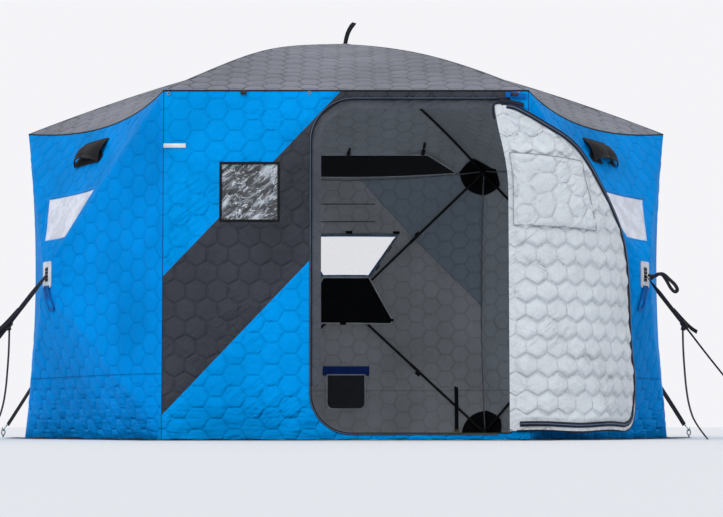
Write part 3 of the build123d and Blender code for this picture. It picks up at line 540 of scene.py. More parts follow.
def webbing_cloth(name, colour):
    """Woven strap: ribs across it and a chevron along it, from the strap's own coordinates."""
    s = Shader(name, colour, 0.62, specular_ior_level=0.12)
    split = s.node("ShaderNodeSeparateXYZ", {0: s.quilt()})
    across = s.math("ABSOLUTE", split.outputs["X"])
    along = s.math("MULTIPLY", split.outputs["Y"], 1600.0)
    ribs = s.math("SINE", s.math("ADD", along, s.math("MULTIPLY", across, 1500.0)))
    s.colour(s.tint(s.step(ribs, -1.0, 1.0), shade(colour, 0.7), shade(colour, 1.5)))
    s.bump(ribs, 0.5, 0.0007)
    s.bump(s.noise(s.place(), 60.0), 0.2, 0.002)
    return s.material


def film_material(name, colour, cover, creases, streak=None, glow=0.0):
    """Clear flexible film, partly see-through, its creases painted lighter and darker as painted reflections
    and shade; streak turns and stretches its creases.
    """
    s = Shader(name, colour, 0.25, specular_ior_level=0.5)
    place = s.place()
    if streak is not None:
        place = s.vector("MULTIPLY", s.turned(place, streak), (1.0, 1.0, 3.0))
    slow = s.noise(s.bent(place, 0.12), 9.0, 3.0, 0.5)
    crumple = s.noise(s.bent(place, 0.10), 26.0, 8.0, 0.68)
    bright = s.math("ADD", s.math("MULTIPLY", slow, 0.5), s.math("MULTIPLY", crumple, 0.5))
    amount = s.step(bright, 0.40, 0.60)
    if streak is not None:
        folded = s.math("ABSOLUTE", s.math("SUBTRACT", s.noise(s.bent(place, 0.2), 9.0, 5.0, 0.62), 0.5))
        wide = s.step(s.noise(place, 4.2, 2.0, 0.5), 0.50, 0.62, 0.0, 0.30)
        amount = s.math("ADD", s.math("MULTIPLY", amount, 0.40), s.step(folded, 0.0, 0.030, 0.50, 0.0))
        amount = s.step(s.math("ADD", amount, wide), 0.16, 0.80)
    # Painted reflections: the crinkles go from near black to far above the film's colour, standing in for sky
    # reflected on the creases and shade between them.
    s.colour(s.tint(amount, shade(colour, 1 - 0.86 * creases), shade(colour, 1 + 1.2 * creases)))
    s.bump(crumple, 0.8 * creases, 0.012)
    s.bump(slow, 0.5 * creases, 0.04)
    # Painted glow: the film emits its colour, standing in for daylight seen through the window.
    if glow:
        s.glow(colour, glow)
    s.give(s.base.inputs["Alpha"], s.step(bright, 0.4, 0.6, cover, min(1.0, cover + 0.2 * creases)))
    return s.material


def moulded(name, colour, roughness=0.45, grain=0.25, metallic=0.0):
    """Moulded plastic or plated metal."""
    s = Shader(name, colour, roughness, metallic=metallic)
    place = s.place()
    worn = s.noise(place, 24.0, 5.0)
    s.colour(s.tint(s.step(worn, 0.35, 0.75), shade(colour, 0.85), shade(colour, 1.2)))
    s.give(s.base.inputs["Roughness"], s.step(worn, 0.3, 0.7, roughness - 0.08, roughness + 0.12))
    s.bump(s.noise(place, 900.0, 2.0), grain, 0.0004)
    return s.material


def net_material(name, colour, pitch=0.0045, cover=0.62):
    """Open knitted mesh: holes cut by its own pattern."""
    s = Shader(name, colour, 0.8)
    q = s.vector("MULTIPLY", s.place(), (1 / pitch, 1 / pitch, 1 / pitch))
    split = s.node("ShaderNodeSeparateXYZ", {0: s.vector("FRACTION", q)})
    gaps = [s.math("ABSOLUTE", s.math("SUBTRACT", split.outputs[k], 0.5)) for k in ("X", "Y", "Z")]
    hole = s.math("MAXIMUM", gaps[0], s.math("MAXIMUM", gaps[1], gaps[2]))
    s.give(s.base.inputs["Alpha"], s.step(hole, 0.30, 0.38, cover, 1.0))
    s.bump(hole, 0.4, 0.001)
    return s.material


SKY = (0.15, 0.55, 1.0, 1.0)
BLACK = linear(20, 20, 23)
# Lining look: its glow is painted light, emission standing in for daylight let through the walls.
LINING_LOOK = {"seam": 0.18, "variation": 0.06, "cross": 0.30, "glow": 0.085, "seam_width": 0.0045,
               "crease": 1.2, "wrinkles": 0.9}
FINE_TAPE = {"weave": 0.5, "scale": 900.0}

# In these looks, seam sets how dark the quilting seams are drawn: a stitch line plus painted shade in their
# creases.
M = {
    "blue": quilted("blue_quilt", linear(0, 135, 216), 0.50, cross=0.33, seam=0.12, hem=0.33, gloss=0.015,
                    crease=0.9, tint=SKY),
    "front_blue": quilted("front_blue_quilt", linear(0, 144, 223), 0.50, seam=0.12, hem=0.20, gloss=0.04,
                          crease=0.9, wrinkles=0.5, tint=SKY, pull=((38, 1.0), (-10, 0.5))),
    "dark": quilted("dark_quilt", linear(50, 53, 61), 0.58, seam=0.30, variation=0.10, crease=0.9,
                    wrinkles=0.8, pull=((-55, 0.9), (40, 0.7))),
    "roof": quilted("roof_quilt", linear(114, 116, 127), 0.55, seam=0.75, variation=0.10, gloss=0.35,
                    crumple=0.7, seam_width=0.0055, crease=1.2, wrinkles=0.7, pull=((0, 0.5),)),
    "lining": quilted("lining_quilt", linear(165, 173, 181), 0.80, **LINING_LOOK),
    # Back lining: a bluer tone is painted above the panel line, as daylight let through the blue outside.
    "back_lining": quilted("back_lining_quilt", linear(176, 179, 185), 0.80, pull=((50, 0.5),),
                           painted_light_panel=(PANEL_SLOPE, PANEL_Z + PANEL_X * PANEL_SLOPE, linear(144, 157, 171)),
                           **LINING_LOOK),
    "white": quilted("door_lining_quilt", linear(213, 218, 223), 0.62, seam=0.12, variation=0.03, crease=1.0,
                     crumple=1.0, wrinkles=1.0, flats=0.93, pull=((38, 0.8), (-35, 0.8))),
    "black_cloth": plain_cloth("black_cloth", BLACK),
    "skirt": plain_cloth("skirt_cloth", linear(30, 30, 33)),
    "zip": plain_cloth("zip_tape", linear(20, 21, 25), 0.6, **FINE_TAPE),
    "zip_grey": plain_cloth("zip_tape_grey", linear(96, 112, 138), 0.55, **FINE_TAPE),
    "navy": plain_cloth("navy_band", linear(40, 78, 170)),
    "navy_black": plain_cloth("zip_band", linear(26, 31, 45), 0.6, **FINE_TAPE),
    "surround": quilted("draught_strip_quilt", linear(76, 79, 87), 0.7, seam=0.1, variation=0.08,
                        wrinkles=1.0),
    "thread": plain_cloth("seam_thread", linear(150, 155, 162)),
    "trim": plain_cloth("pale_trim", linear(236, 237, 240), 0.7),
    "brass": moulded("strap_end_metal", linear(150, 132, 90), 0.35, metallic=1.0),
    "blue_plain": plain_cloth("blue_cloth", linear(0, 133, 213), 0.55, gloss=0.06),
    "blue_dark": plain_cloth("blue_thread", linear(0, 62, 120), 0.55),
    "reflective": plain_cloth("reflective_strip", linear(225, 230, 236), 0.35, 0.2),
    "webbing": webbing_cloth("webbing", linear(36, 36, 44)),
    "blue_webbing": webbing_cloth("blue_webbing", linear(0, 92, 170)),
    # The wall and back window films glow: painted light standing in for daylight through them.
    "film": film_material("wall_window_film", linear(206, 209, 222), 0.86, 0.14, glow=0.10),
    "back_film": film_material("back_window_film", linear(236, 238, 244), 0.30, 0.06, glow=0.30),
    "front_film": film_material("front_window_film", linear(142, 147, 154), 0.80, 1.0, streak=38),
    "net": net_material("net_cloth", BLACK, cover=0.90),
    "pocket_net": net_material("pocket_net", linear(52, 55, 64), cover=0.80),
    "pole": moulded("pole", linear(14, 14, 16), 0.50),
    "hub": moulded("hub_plastic", linear(18, 18, 20), 0.50),
    "plate": moulded("plate", linear(206, 209, 214), 0.5),
    "wire": moulded("hook_wire", linear(30, 120, 132), 0.35),
    "steel": moulded("anchor_steel", linear(150, 152, 155), 0.35, metallic=1.0),
}


# ---- Shape of the walls and the roof ----
def to_frame(angle, across, out, z):
    """Points from a wall's own across, out and height, in the frame."""
    a = math.radians(angle)
    x = out * math.cos(a) - across * math.sin(a)
    y = out * math.sin(a) + across * math.cos(a) + MID_Y
    return stack(x, y, z)


def outward(angle):
    """Direction straight out at an angle of the plan."""
    a = math.radians(angle)
    return np.array((math.cos(a), math.sin(a), 0))


def wall_side(angle):
    """Direction across a wall that faces an angle of the plan."""
    a = math.radians(angle)
    return np.array((-math.sin(a), math.cos(a), 0))


def corner_line(angle, inset=0.0, ends=(0, 1)):
    """Upright seam at a corner, bowed in except beside the front wall."""
    t = np.linspace(*ends, 40)
    bow = 0 if angle in FRONT_CORNERS else CORNER_BOW
    radius = SIDE - inset / COS30 - 4 * bow * t * (1 - t)
    return to_frame(angle, 0, radius, FOOT + (WALL_HEIGHT - inset - FOOT) * t)


def bows_of(angle):
    """How far the corner seams at a wall's left and right are pulled in."""
    return [0.0 if (angle + turn) % 360 in FRONT_CORNERS else CORNER_BOW for turn in (-30, 30)]


def wall_out(angle, s, z, inset=0.0):
    """How far out a pushed-out wall lies at a point across and up it."""
    half, top = (SIDE - inset / COS30) / 2, WALL_HEIGHT - inset
    bow_left, bow_right = bows_of(angle)
    bow = np.where(s < 0, bow_left, bow_right)
    away = np.abs(s)
    v = np.full_like(s, 0.3)
    for _ in range(14):
        u = s / (2 * ((1 - v) * half + v * PATCH_HALF)) + 0.5
        arch = np.clip(4 * u * (1 - u), 0, 1)
        eave = top - EAVE_DIP * arch
        v = np.clip((eave - z) / (eave - HUB_TOP), 0, 1)
    above = (1 - v) * (APOTHEM - inset - EAVE_PULL * arch) + v * (HUB_REACH - inset)
    below = APOTHEM - inset + HUB_BULGE * np.clip((z - FOOT) / (HUB_LOW - FOOT), 0, 1)
    v = np.full_like(s, 0.3)
    for _ in range(10):
        t = np.clip((z - (1 - v) * FOOT - v * HUB_LOW) / ((1 - v) * (top - FOOT) + v * PATCH_HEIGHT), 0, 1)
        radius = SIDE - inset / COS30 - 4 * bow * t * (1 - t)
        v = np.clip((radius / 2 - away) / (radius / 2 - PATCH_HALF), 0, 1)
    beside = (1 - v) * radius * COS30 + v * (HUB_REACH - inset)
    share = np.clip((away - PATCH_HALF) / (half - PATCH_HALF), 0, 1)
    upper_ridge = HUB_TOP + share * (top - HUB_TOP)
    lower_ridge = HUB_LOW - share * (HUB_LOW - FOOT)
    return np.where(z > upper_ridge, above, np.where(z < lower_ridge, below, beside))


def wall_outline(angle, inset=0.0):
    """Outline of a pushed-out wall across and up: hem, seam, eave and seam."""
    radius, top = SIDE - inset / COS30, WALL_HEIGHT - inset
    bow_left, bow_right = bows_of(angle)
    t = np.linspace(0, 1, 40)
    seam_z = FOOT + (top - FOOT) * t
    right = stack((radius - 4 * bow_right * t * (1 - t)) / 2, seam_z)
    left = stack(-(radius - 4 * bow_left * t * (1 - t)) / 2, seam_z)
    u = np.linspace(1, 0, 60)[1:-1]
    eave = stack((2 * u - 1) * radius / 2, top - EAVE_DIP * 4 * u * (1 - u))
    return np.vstack([right, eave, left[::-1]])


def soft_wall_out(angle, s, z, edge, inset=0.0):
    """The same wall with its folds over the poles rounded, exact at its edges."""
    exact = wall_out(angle, s, z, inset)
    total = exact.copy()
    for k in range(8):
        turn = math.radians(45 * k)
        total += wall_out(angle, s + RIDGE_SOFT * math.cos(turn), z + RIDGE_SOFT * math.sin(turn), inset)
    blend = smooth(edge / (2 * RIDGE_SOFT))
    return exact + (total / 9 - exact) * blend


def window_outline(spare=0.0):
    """Outline of the window in a pushed-out wall."""
    head, foot = WALL_WINDOW_HEAD_HALF + spare, WALL_WINDOW_FOOT_HALF + spare
    low, high = WALL_WINDOW_FOOT - spare, WALL_WINDOW_HEAD + spare
    return [(-foot, low), (foot, low), (head, high), (-head, high)]


def pole_lines(inset=0.0):
    """The four lines across and up from the hub patch to a wall's corners."""
    half, top = (SIDE - inset / COS30) / 2, WALL_HEIGHT - inset
    lines = []
    for side in (-1, 1):
        for near, far in ((HUB_TOP, top), (HUB_LOW, FOOT)):
            a, b = np.array((side * PATCH_HALF, near)), np.array((side * half, far))
            lines.append([tuple(a), tuple(a + (b - a) * 0.97)])
    return lines


def slack(a, b, seed):
    """Slow unevenness that a wall's outside and lining have together."""
    return 0.0036 * waves(a, b, 0.60, seed + 5) + 0.0014 * waves(a, b, 0.17, seed + 6)


def wall_slack(s, z, edge, seed):
    """Creases that run from the hub and hang from the eave."""
    hub = np.hypot(s, z - HUB_HEIGHT)
    turn = np.arctan2(z - HUB_HEIGHT, s)
    rays = np.sin(turn * 17 + 2.2 * waves(s, z, 0.5, seed + 3)) * np.exp(-((hub - 0.13) / 0.16) ** 2)
    hang = 0.004 * folds(s, z, 62, 0.16, seed + 7) * smooth((z - 1.25) / 0.3)
    return (0.0035 * rays + hang + slack(s, z, seed)) * smooth(edge / 0.05)


def beside_hub(s, z):
    """0 under the stiff hub patch, 1 away from it."""
    return smooth(np.maximum(np.abs(s) - 0.056, np.abs(z - HUB_HEIGHT) - 0.074) / 0.03)


def wall_relief(s, z, edge, seed):
    """Puffs and creases of a wall's outside."""
    bumps = puffs(z, s, WALL_PUFF, seed) * smooth(edge / 0.025)
    return beside_hub(s, z) * (bumps + wall_slack(s, z, edge, seed))


def lining_relief(s, z, edge, seed):
    """The same slack seen from inside, with shallower puffs inward."""
    return wall_slack(s, z, edge, seed) - puffs(z, s, WALL_LINING_PUFF, seed) * smooth(edge / 0.03)


def hub_wall(name, angle, seed):
    """Outside and lining of one pushed-out wall, with its window cut through."""
    for inset, step, relief, way in ((0.0, FINE, wall_relief, 1), (FABRIC, COARSE, lining_relief, -1)):
        outlines = [wall_outline(angle, inset), window_outline()]
        flat, faces, _ = fill(outlines[0], step, outlines[1:], pole_lines(inset))
        s, z = flat.T
        rim = distance(flat, np.vstack([resample(line, step, True) for line in outlines]))
        out = soft_wall_out(angle, s, z, rim, inset) + relief(s, z, rim, seed)
        part = (to_frame(angle, s, out, z), faces[:, ::way], 0, stack(z, s))
        if way > 0:
            sheet = piece(f"shell_wall_{name}", [part], ["blue"], nodes=[f"wall_{name}"])
        else:
            finish = "back_lining" if angle == BACK else "lining"
            sheet = piece(f"lining_wall_{name}", [part], [finish])


def hub_wall_windows():
    """Creased film in the five wall windows, and the bound edge round each."""
    films, frames = [], []
    for k, angle in enumerate(HUB_WALLS.values()):
        flat, faces, edge = fill(window_outline(0.004), 0.012)
        s, z = flat.T
        relief = 0.003 * (folds(s, z, 25, 0.12, 40 + k) + waves(s, z, 0.25, 50 + k)) * smooth(edge / 0.03)
        out = wall_out(angle, s, z) - FABRIC / 2 + relief
        films.append((to_frame(angle, s, out, z), faces, int(angle == BACK), stack(s, z)))
        s, z = resample(window_outline(0.002), 0.03, True).T
        frames.append(sweep(to_frame(angle, s, wall_out(angle, s, z) - FABRIC / 2, z),
                            band_profile(0.016, FABRIC + 0.004), outward(angle), closed=True))
    film = piece("wall_window_films", films, ["film", "back_film"], nodes=["wall_window_panes"])
    piece("wall_window_bindings", frames, ["blue_plain"])


def gore_height(s, out, dips, inset=0.0):
    """Height of a roof gore over a point of the plan."""
    pull, dip = (EAVE_PULL, EAVE_DIP) if dips else (0.0, 0.0)
    reach = SIDE - inset / COS30
    rise = PEAK_HEIGHT - WALL_HEIGHT
    v = np.full_like(s, 0.4)
    for _ in range(25):
        radius = np.maximum(reach + (PEAK_PATCH - reach) * v, 0.5 * PEAK_PATCH)
        u = np.clip(s / radius + 0.5, 0, 1)
        radius = (out + 4 * pull * u * (1 - u) * (1 - v) ** 2) / COS30
        v = np.clip((reach - radius) / (reach - PEAK_PATCH), 0, 1)
    arch = 4 * u * (1 - u)
    eave = WALL_HEIGHT - inset - dip * arch
    middle = WALL_HEIGHT - inset + rise * (1 + RIB_CROWN) * 0.5 - 2 * GORE_SAG * arch
    top = PEAK_HEIGHT - inset
    return (1 - v) ** 2 * eave + 2 * v * (1 - v) * middle + v ** 2 * top


def gore_outline(dips, inset=0.0):
    """Plan outline of a gore: eave, rib, patch edge, rib."""
    pull = EAVE_PULL if dips else 0.0
    reach = SIDE - inset / COS30
    u = np.linspace(0, 1, 60)
    eave = stack((2 * u - 1) * reach / 2, reach * COS30 - pull * 4 * u * (1 - u))
    top = [(PEAK_PATCH / 2, PEAK_PATCH * COS30), (-PEAK_PATCH / 2, PEAK_PATCH * COS30)]
    return np.vstack([eave, top])


def swell(t, x, y):
    """How much fuller the cloth stands from the eave (0) to the peak (1), most at the front left."""
    turn = np.degrees(np.arctan2(y - MID_Y, x)) % 360 - 232
    return (0.004 + 0.028 * np.exp(-(turn / 32) ** 2)) * np.exp(-((t - 0.53) / 0.30) ** 2)


def roof_gore(name, angle, seed):
    """Outside and lining of one roof panel."""
    dips = angle != FRONT
    for inset, step, way, puff in ((0.0, FINE, 1, ROOF_PUFF), (FABRIC, COARSE, -1, ROOF_LINING_PUFF)):
        flat, faces, edge = fill(gore_outline(dips, inset), step)
        s, out = flat.T
        along = -out * 1.06
        loose = slack(s, out, seed) + 0.003 * folds(s, out, 80, 0.22, seed + 2) * smooth((1.7 - out) / 0.5)
        z = gore_height(s, out, dips, inset) + loose * smooth(edge / 0.05)
        z += way * puffs(along, s, puff, seed) * smooth(edge / 0.03)
        if way > 0:
            z += swell(1 - out / APOTHEM, *to_frame(angle, s, out, z).T[:2])
        part = (to_frame(angle, s, out, z), faces[:, ::way], 0, stack(along, s))
        if way > 0:
            sheet = piece(f"shell_roof_{name}", [part], ["roof"], nodes=[f"roof_{name}"])
        else:
            sheet = piece(f"lining_roof_{name}", [part], ["lining"])


def eave_point(angle, u, inset=0.0):
    """Points along the eave over one wall."""
    dips = angle != FRONT
    pull, dip = (EAVE_PULL, EAVE_DIP) if dips else (0.0, 0.0)
    arch = 4 * u * (1 - u)
    reach = SIDE - inset / COS30
    return to_frame(angle, (2 * u - 1) * reach / 2, reach * COS30 - pull * arch,
                    WALL_HEIGHT - inset - dip * arch)


def roof():
    """The six gores and the patch over the peak."""
    for k, (name, angle) in enumerate([*HUB_WALLS.items(), ("front", FRONT)]):
        roof_gore(name, angle, 300 + 10 * k)
    corners = 1.35 * PEAK_PATCH * np.array(arc((0, 0), 1.0, 0, 300, 6))
    flat, faces, _ = fill(corners, 0.012)

    def over_peak(x, y):
        """The patch's place over the peak: level in the middle, then down the ribs."""
        beyond = np.maximum(np.hypot(x, y) - PEAK_PATCH * COS30, 0)
        return stack(x, y + MID_Y, PEAK_HEIGHT + 0.003 - 0.30 * beyond)

    line = over_peak(*resample(corners * 0.96, 0.02, True).T)
    hem = sweep(line, band_profile(0.012, 0.004), UP, closed=True)
    piece("peak_patch_cloth", [(over_peak(*flat.T), faces, 0, flat), hem], ["black_cloth"],
          nodes=["roof_peak_patch"])


def piping():
    """Thin dark piping along the eaves, the roof ribs and the two front corners."""
    t = np.linspace(0, 1, 60)
    parts = [sweep(eave_point(angle, t), round_profile(0.0042), UP) for angle in ALL_WALLS]
    radius = SIDE + (PEAK_PATCH - SIDE) * t
    rib = WALL_HEIGHT + (PEAK_HEIGHT - WALL_HEIGHT) * (2 * t * (1 - t) * (1 + RIB_CROWN) * 0.5 + t * t)
    for angle in CORNERS:
        path = to_frame(angle, 0, radius, rib)
        path[:, 2] += swell(1 - radius / SIDE, path[:, 0], path[:, 1])
        parts.append(sweep(path, band_profile(0.011, 0.005), UP, 1))
    piece("eave_piping", parts, ["zip", "roof"])
    seams = []
    for angle in CORNERS:
        radius, slot = (0.0020, 1) if angle in FRONT_CORNERS else (0.0032, 0)
        seams.append(sweep(corner_line(angle), round_profile(radius), outward(angle), slot))
    piece("corner_seams", seams, ["blue_plain", "blue_dark"])


# ---- Front wall ----
def doorway(spare=0.0):
    """Doorway outline, anticlockwise from the sill's left."""
    left, right, top, sill = DOOR_LEFT - spare, DOOR_RIGHT + spare, DOOR_TOP + spare, DOOR_SILL - spare
    r_top, r_foot, r_hinge = DOOR_TOP_RADIUS + spare, DOOR_FOOT_RADIUS + spare, DOOR_HINGE_RADIUS
    return (arc((left + r_foot, sill + r_foot), r_foot, 180, 270)
            + arc((right - r_hinge, sill + r_hinge), r_hinge, 270, 360, 4)
            + arc((right - r_hinge, top - r_hinge), r_hinge, 0, 90, 4)
            + arc((left + r_top, top - r_top), r_top, 90, 180))


def band_edge(x, drop=0.0):
    """Height of the dark band's slanted edge."""
    return WALL_HEIGHT + (x - BAND_TOP_X) * math.tan(math.radians(BAND_SLOPE)) - drop


def square(centre_x, centre_z, size):
    """Upright square outline."""
    h = size / 2
    return [(centre_x - h, centre_z - h), (centre_x + h, centre_z - h),
            (centre_x + h, centre_z + h), (centre_x - h, centre_z + h)]


def front_region(x, z):
    """Which of the five pieces of the front wall a point belongs to."""
    region = np.full(len(x), 2)
    above_lower = z > band_edge(x, BAND_DROP)
    region[above_lower & (x < 0.1)] = 1
    region[(z > band_edge(x)) & (x < HEAD_SPLIT)] = 0
    region[(x > HEAD_SPLIT) & (z > DOOR_TOP - DOOR_TOP_RADIUS)] = 3
    region[x > DOOR_RIGHT] = 4
    return region


FRONT_PIECES = (
    ("blue_upper", "blue_fabric", (0.94, 0.90), 0.39),
    ("dark_band", "dark_fabric", (0.80, 1.30), 0.50),
    ("blue_lower", "blue_fabric", (1.00, 0.90), 0.41),
    ("door_head", "dark_fabric", (0.83, 0.07), 0.036),
    ("hinge_strip", "blue_fabric", (0.09, 1.75), 0.155),
)
DARK_REGIONS = (1, 3)


def front_slack(x, z, edge):
    """Slack of the front wall and its drape beside and over the doorway, outward."""
    head = smooth((x + 0.42) / 0.25) * smooth((z - 1.30) / 0.25)
    drape = 0.0055 * folds(x, z, 58, 0.085, 75) * head
    sill = 0.0045 * folds(x, z, 80, 0.12, 76) * smooth((0.22 - z) / 0.18)
    pulled = 0.0042 * folds(x, z, -36, 0.085, 77) * smooth((1.15 - z) / 0.5)
    pulled += 0.0030 * folds(x, z, 62, 0.13, 78)
    return (slack(x, z, 73) + drape + sill + pulled) * smooth(edge / 0.035)


def front_wall():
    """Outside of the flat front wall in its five colours, and its lining."""
    half = SIDE / 2
    outline = [(-half, FOOT), (half, FOOT), (half, WALL_HEIGHT), (-half, WALL_HEIGHT)]
    near = -half + 0.001
    lines = [
        [(near, band_edge(near)), (BAND_TOP_X - 0.001, WALL_HEIGHT - 0.001)],
        [(near, band_edge(near, BAND_DROP)), (DOOR_LEFT, band_edge(DOOR_LEFT, BAND_DROP))],
        [(HEAD_SPLIT, WALL_HEIGHT - 0.002), (HEAD_SPLIT, DOOR_TOP)],
        [(DOOR_RIGHT, DOOR_TOP + 0.002), (DOOR_RIGHT, WALL_HEIGHT - 0.002)],
        [(DOOR_RIGHT, FOOT + 0.002), (DOOR_RIGHT, DOOR_SILL - 0.002)],
    ]
    holes = [doorway(), square(FRONT_WINDOW_X, FRONT_WINDOW_Z, FRONT_WINDOW - 0.004)]
    for step, y, way in ((0.0125, FRONT_Y, -1), (0.022, FRONT_Y + FABRIC, 1)):
        flat, faces, edge = fill(outline, step, holes, lines)
        x, z = flat.T
        region = front_region(*flat[faces].mean(axis=1).T)
        dark = np.zeros(len(flat), bool)
        dark[faces[np.isin(region, DARK_REGIONS)].ravel()] = True
        bumps = np.where(dark, puffs(x, z, DARK_PUFF, 72), puffs(z, x, FRONT_PUFF, 71)) * smooth(edge / 0.025)
        out = front_slack(x, z, edge) + (bumps if way < 0 else -0.7 * bumps)
        points = stack(x, y - out, z)
        if way > 0:
            lining = piece("lining_front", [(points, faces[:, ::-1], 0, stack(z, x))], ["lining"])
            continue
        for k, (name, slot, size, area) in enumerate(FRONT_PIECES):
            used, again = np.unique(faces[region == k], return_inverse=True)
            finish, quilt = ("dark", stack(x, z)) if k in DARK_REGIONS else ("front_blue", stack(z, x))
            part = (points[used], again.reshape(-1, 3), 0, quilt[used])
            obj = piece(f"shell_front_{name}", [part], [finish], nodes=[f"front_wall_{name}"])


def front_window():
    """Crumpled film in the front window, and its binding."""
    flat, faces, edge = fill(square(FRONT_WINDOW_X, FRONT_WINDOW_Z, FRONT_WINDOW - 0.006), 0.006)
    x, z = flat.T
    crumple = 0.006 * folds(x, z, 35, 0.05, 91) + 0.005 * folds(x, z, 110, 0.07, 92)
    crumple += 0.003 * waves(x, z, 0.05, 93)
    y = FRONT_Y + FABRIC / 2 - crumple * smooth(edge / 0.025)
    film = piece("front_window_vinyl", [(stack(x, y, z), faces, 0, flat)], ["front_film"],
                 nodes=["front_window_film"])
    parts = []
    for size, width, y_at in ((FRONT_WINDOW - 0.004, 0.007, -0.001), (FRONT_WINDOW + 0.008, 0.008, 0.0)):
        x, z = resample(square(FRONT_WINDOW_X, FRONT_WINDOW_Z, size), 0.03, True).T
        parts.append(sweep(stack(x, FRONT_Y + y_at, z), band_profile(width, 0.006), TO_FRONT, closed=True))
    piece("front_window_binding", parts, ["black_cloth"], nodes=["front_window_frame"])


def door_zips():
    """Zip round the doorway: a grey tape on the wall and dark binding on the opening's edge."""
    gap, end = 0.0045, DOOR_RIGHT - 0.07
    loop = doorway(gap)
    half = len(loop) // 2
    free_side = [p for p in loop[half:] + loop[:half] if p[0] < end]
    x, z = resample([(end, DOOR_TOP + gap), *free_side, (end, DOOR_SILL - gap)], 0.02).T
    path = stack(x, FRONT_Y - 0.0015, z)
    x, z = resample(doorway(-0.001), 0.02, True).T
    parts = [sweep(path, band_profile(0.009, 0.004), TO_FRONT, 1),
             sweep(path + np.array([0, -0.0022, 0]), round_profile(0.0016, 6), TO_FRONT),
             sweep(stack(x, FRONT_Y + FABRIC / 2, z), band_profile(0.006, FABRIC + 0.003), TO_FRONT, 1, True)]
    piece("door_zip_tape", parts, ["zip_grey", "zip"], nodes=["door_zip"])


CAMERA_LENS, CAMERA_SHIFT, CAMERA_AWAY, CAMERA_HEIGHT, CAMERA_TILT = 104.1, 0.0214, 12.0, 0.075, 4.56
SKY_LIGHT, SUN_LIGHT, SUN_SPREAD, SUN_TURN = 0.80, 1.1, 50, (52, -14, -12)
FLOOR_HALF = 60.0


def camera():
    """Camera in front of the doorway, low and tilted up."""
    data = bpy.data.cameras.new("camera")
    data.lens = CAMERA_LENS
    data.sensor_width = 36.0
    data.shift_x = CAMERA_SHIFT
    data.clip_end = 200.0
    obj = linked(bpy.data.objects.new("camera", data))
    obj.location = (0.0, MID_Y - CAMERA_AWAY, CAMERA_HEIGHT)
    obj.rotation_euler = (math.radians(90 + CAMERA_TILT), 0, 0)
    bpy.context.scene.camera = obj


def stage():
    """Pale floor, pale surroundings and soft light."""
    scene = bpy.context.scene
    scene.view_settings.view_transform = "Standard"
    world = bpy.data.worlds.new("sky")
    scene.world = world
    world.use_nodes = True
    nodes, links = world.node_tree.nodes, world.node_tree.links
    light = nodes["Background"]
    light.inputs[0].default_value = (0.93, 0.96, 1.0, 1)
    light.inputs[1].default_value = SKY_LIGHT
    shown = nodes.new("ShaderNodeBackground")
    shown.inputs[0].default_value = (0.91, 0.91, 0.94, 1)
    path = nodes.new("ShaderNodeLightPath")
    mix = nodes.new("ShaderNodeMixShader")
    seen = path.outputs["Is Camera Ray"]
    for kind in ("Is Glossy Ray", "Is Transmission Ray"):
        most = nodes.new("ShaderNodeMath")
        most.operation = "MAXIMUM"
        links.new(seen, most.inputs[0])
        links.new(path.outputs[kind], most.inputs[1])
        seen = most.outputs[0]
    for k, socket in enumerate((seen, light.outputs[0], shown.outputs[0])):
        links.new(socket, mix.inputs[k])
    links.new(mix.outputs[0], nodes["World Output"].inputs[0])
    sun = bpy.data.lights.new("soft_sun", "SUN")
    sun.energy = SUN_LIGHT
    sun.angle = math.radians(SUN_SPREAD)
    lamp = linked(bpy.data.objects.new("soft_sun", sun))
    lamp.rotation_euler = [math.radians(turn) for turn in SUN_TURN]
    mesh = bpy.data.meshes.new("floor")
    corners = [(x * FLOOR_HALF, y * FLOOR_HALF, 0) for x, y in ((-1, -1), (1, -1), (1, 1), (-1, 1))]
    mesh.from_pydata(corners, [], [(0, 1, 2, 3)])
    mesh.materials.append(Shader("floor", (0.80, 0.81, 0.83, 1), 0.9).material)
    linked(bpy.data.objects.new("floor", mesh))


# ---- Door leaf, swung back ----
HINGE = (0.810, MID_Y - APOTHEM - 0.010)
LEAF_MIDDLE, LEAF_END = np.array((0.435, -0.048)), np.array((0.705, 0.537))
LEAF_TOP, LEAF_FOOT = 1.680, 0.046
LEAF_HALF_THICK = 0.003
LEAF_REACH = float(np.hypot(*LEAF_END))
LEAF_OUTLINE = ((0.06, 1.676), (0.11, 1.645), (0.20, 1.583), (0.39, 1.470), (0.60, 1.269), (0.79, 1.075),
                (0.862, 0.930), (0.892, 0.760), (0.905, 0.600), (0.925, 0.450), (0.962, 0.340),
                (0.982, 0.250))
LEAF_CORNER, LEAF_SILL_END = (0.990, 0.060), (0.84, 0.049)
LEAF_FREE = 0.1
FLAP = ((0.020, 1.072), (0.450, 1.058), (0.350, 1.405), (0.020, 1.438))


def leaf_tables():
    """Plan curve of the leaf against its chord: chord place, plan point, lining side and length."""
    t = np.linspace(0, 1, 240)[:, None]
    plan = bend(0, LEAF_MIDDLE, LEAF_END, t)
    slope = unit(2 * (1 - t) * LEAF_MIDDLE + 2 * t * (LEAF_END - LEAF_MIDDLE))
    return plan @ (LEAF_END / LEAF_REACH), plan, stack(slope[:, 1], -slope[:, 0]), lengths_along(plan)


CHORD, PLAN, LINING_SIDE, LEAF_LENGTH = leaf_tables()


def leaf_lean(z):
    """How far the hinged edge leans over the doorway near its top."""
    return 0.070 * smooth((z - 1.22) / 0.50) ** 1.3


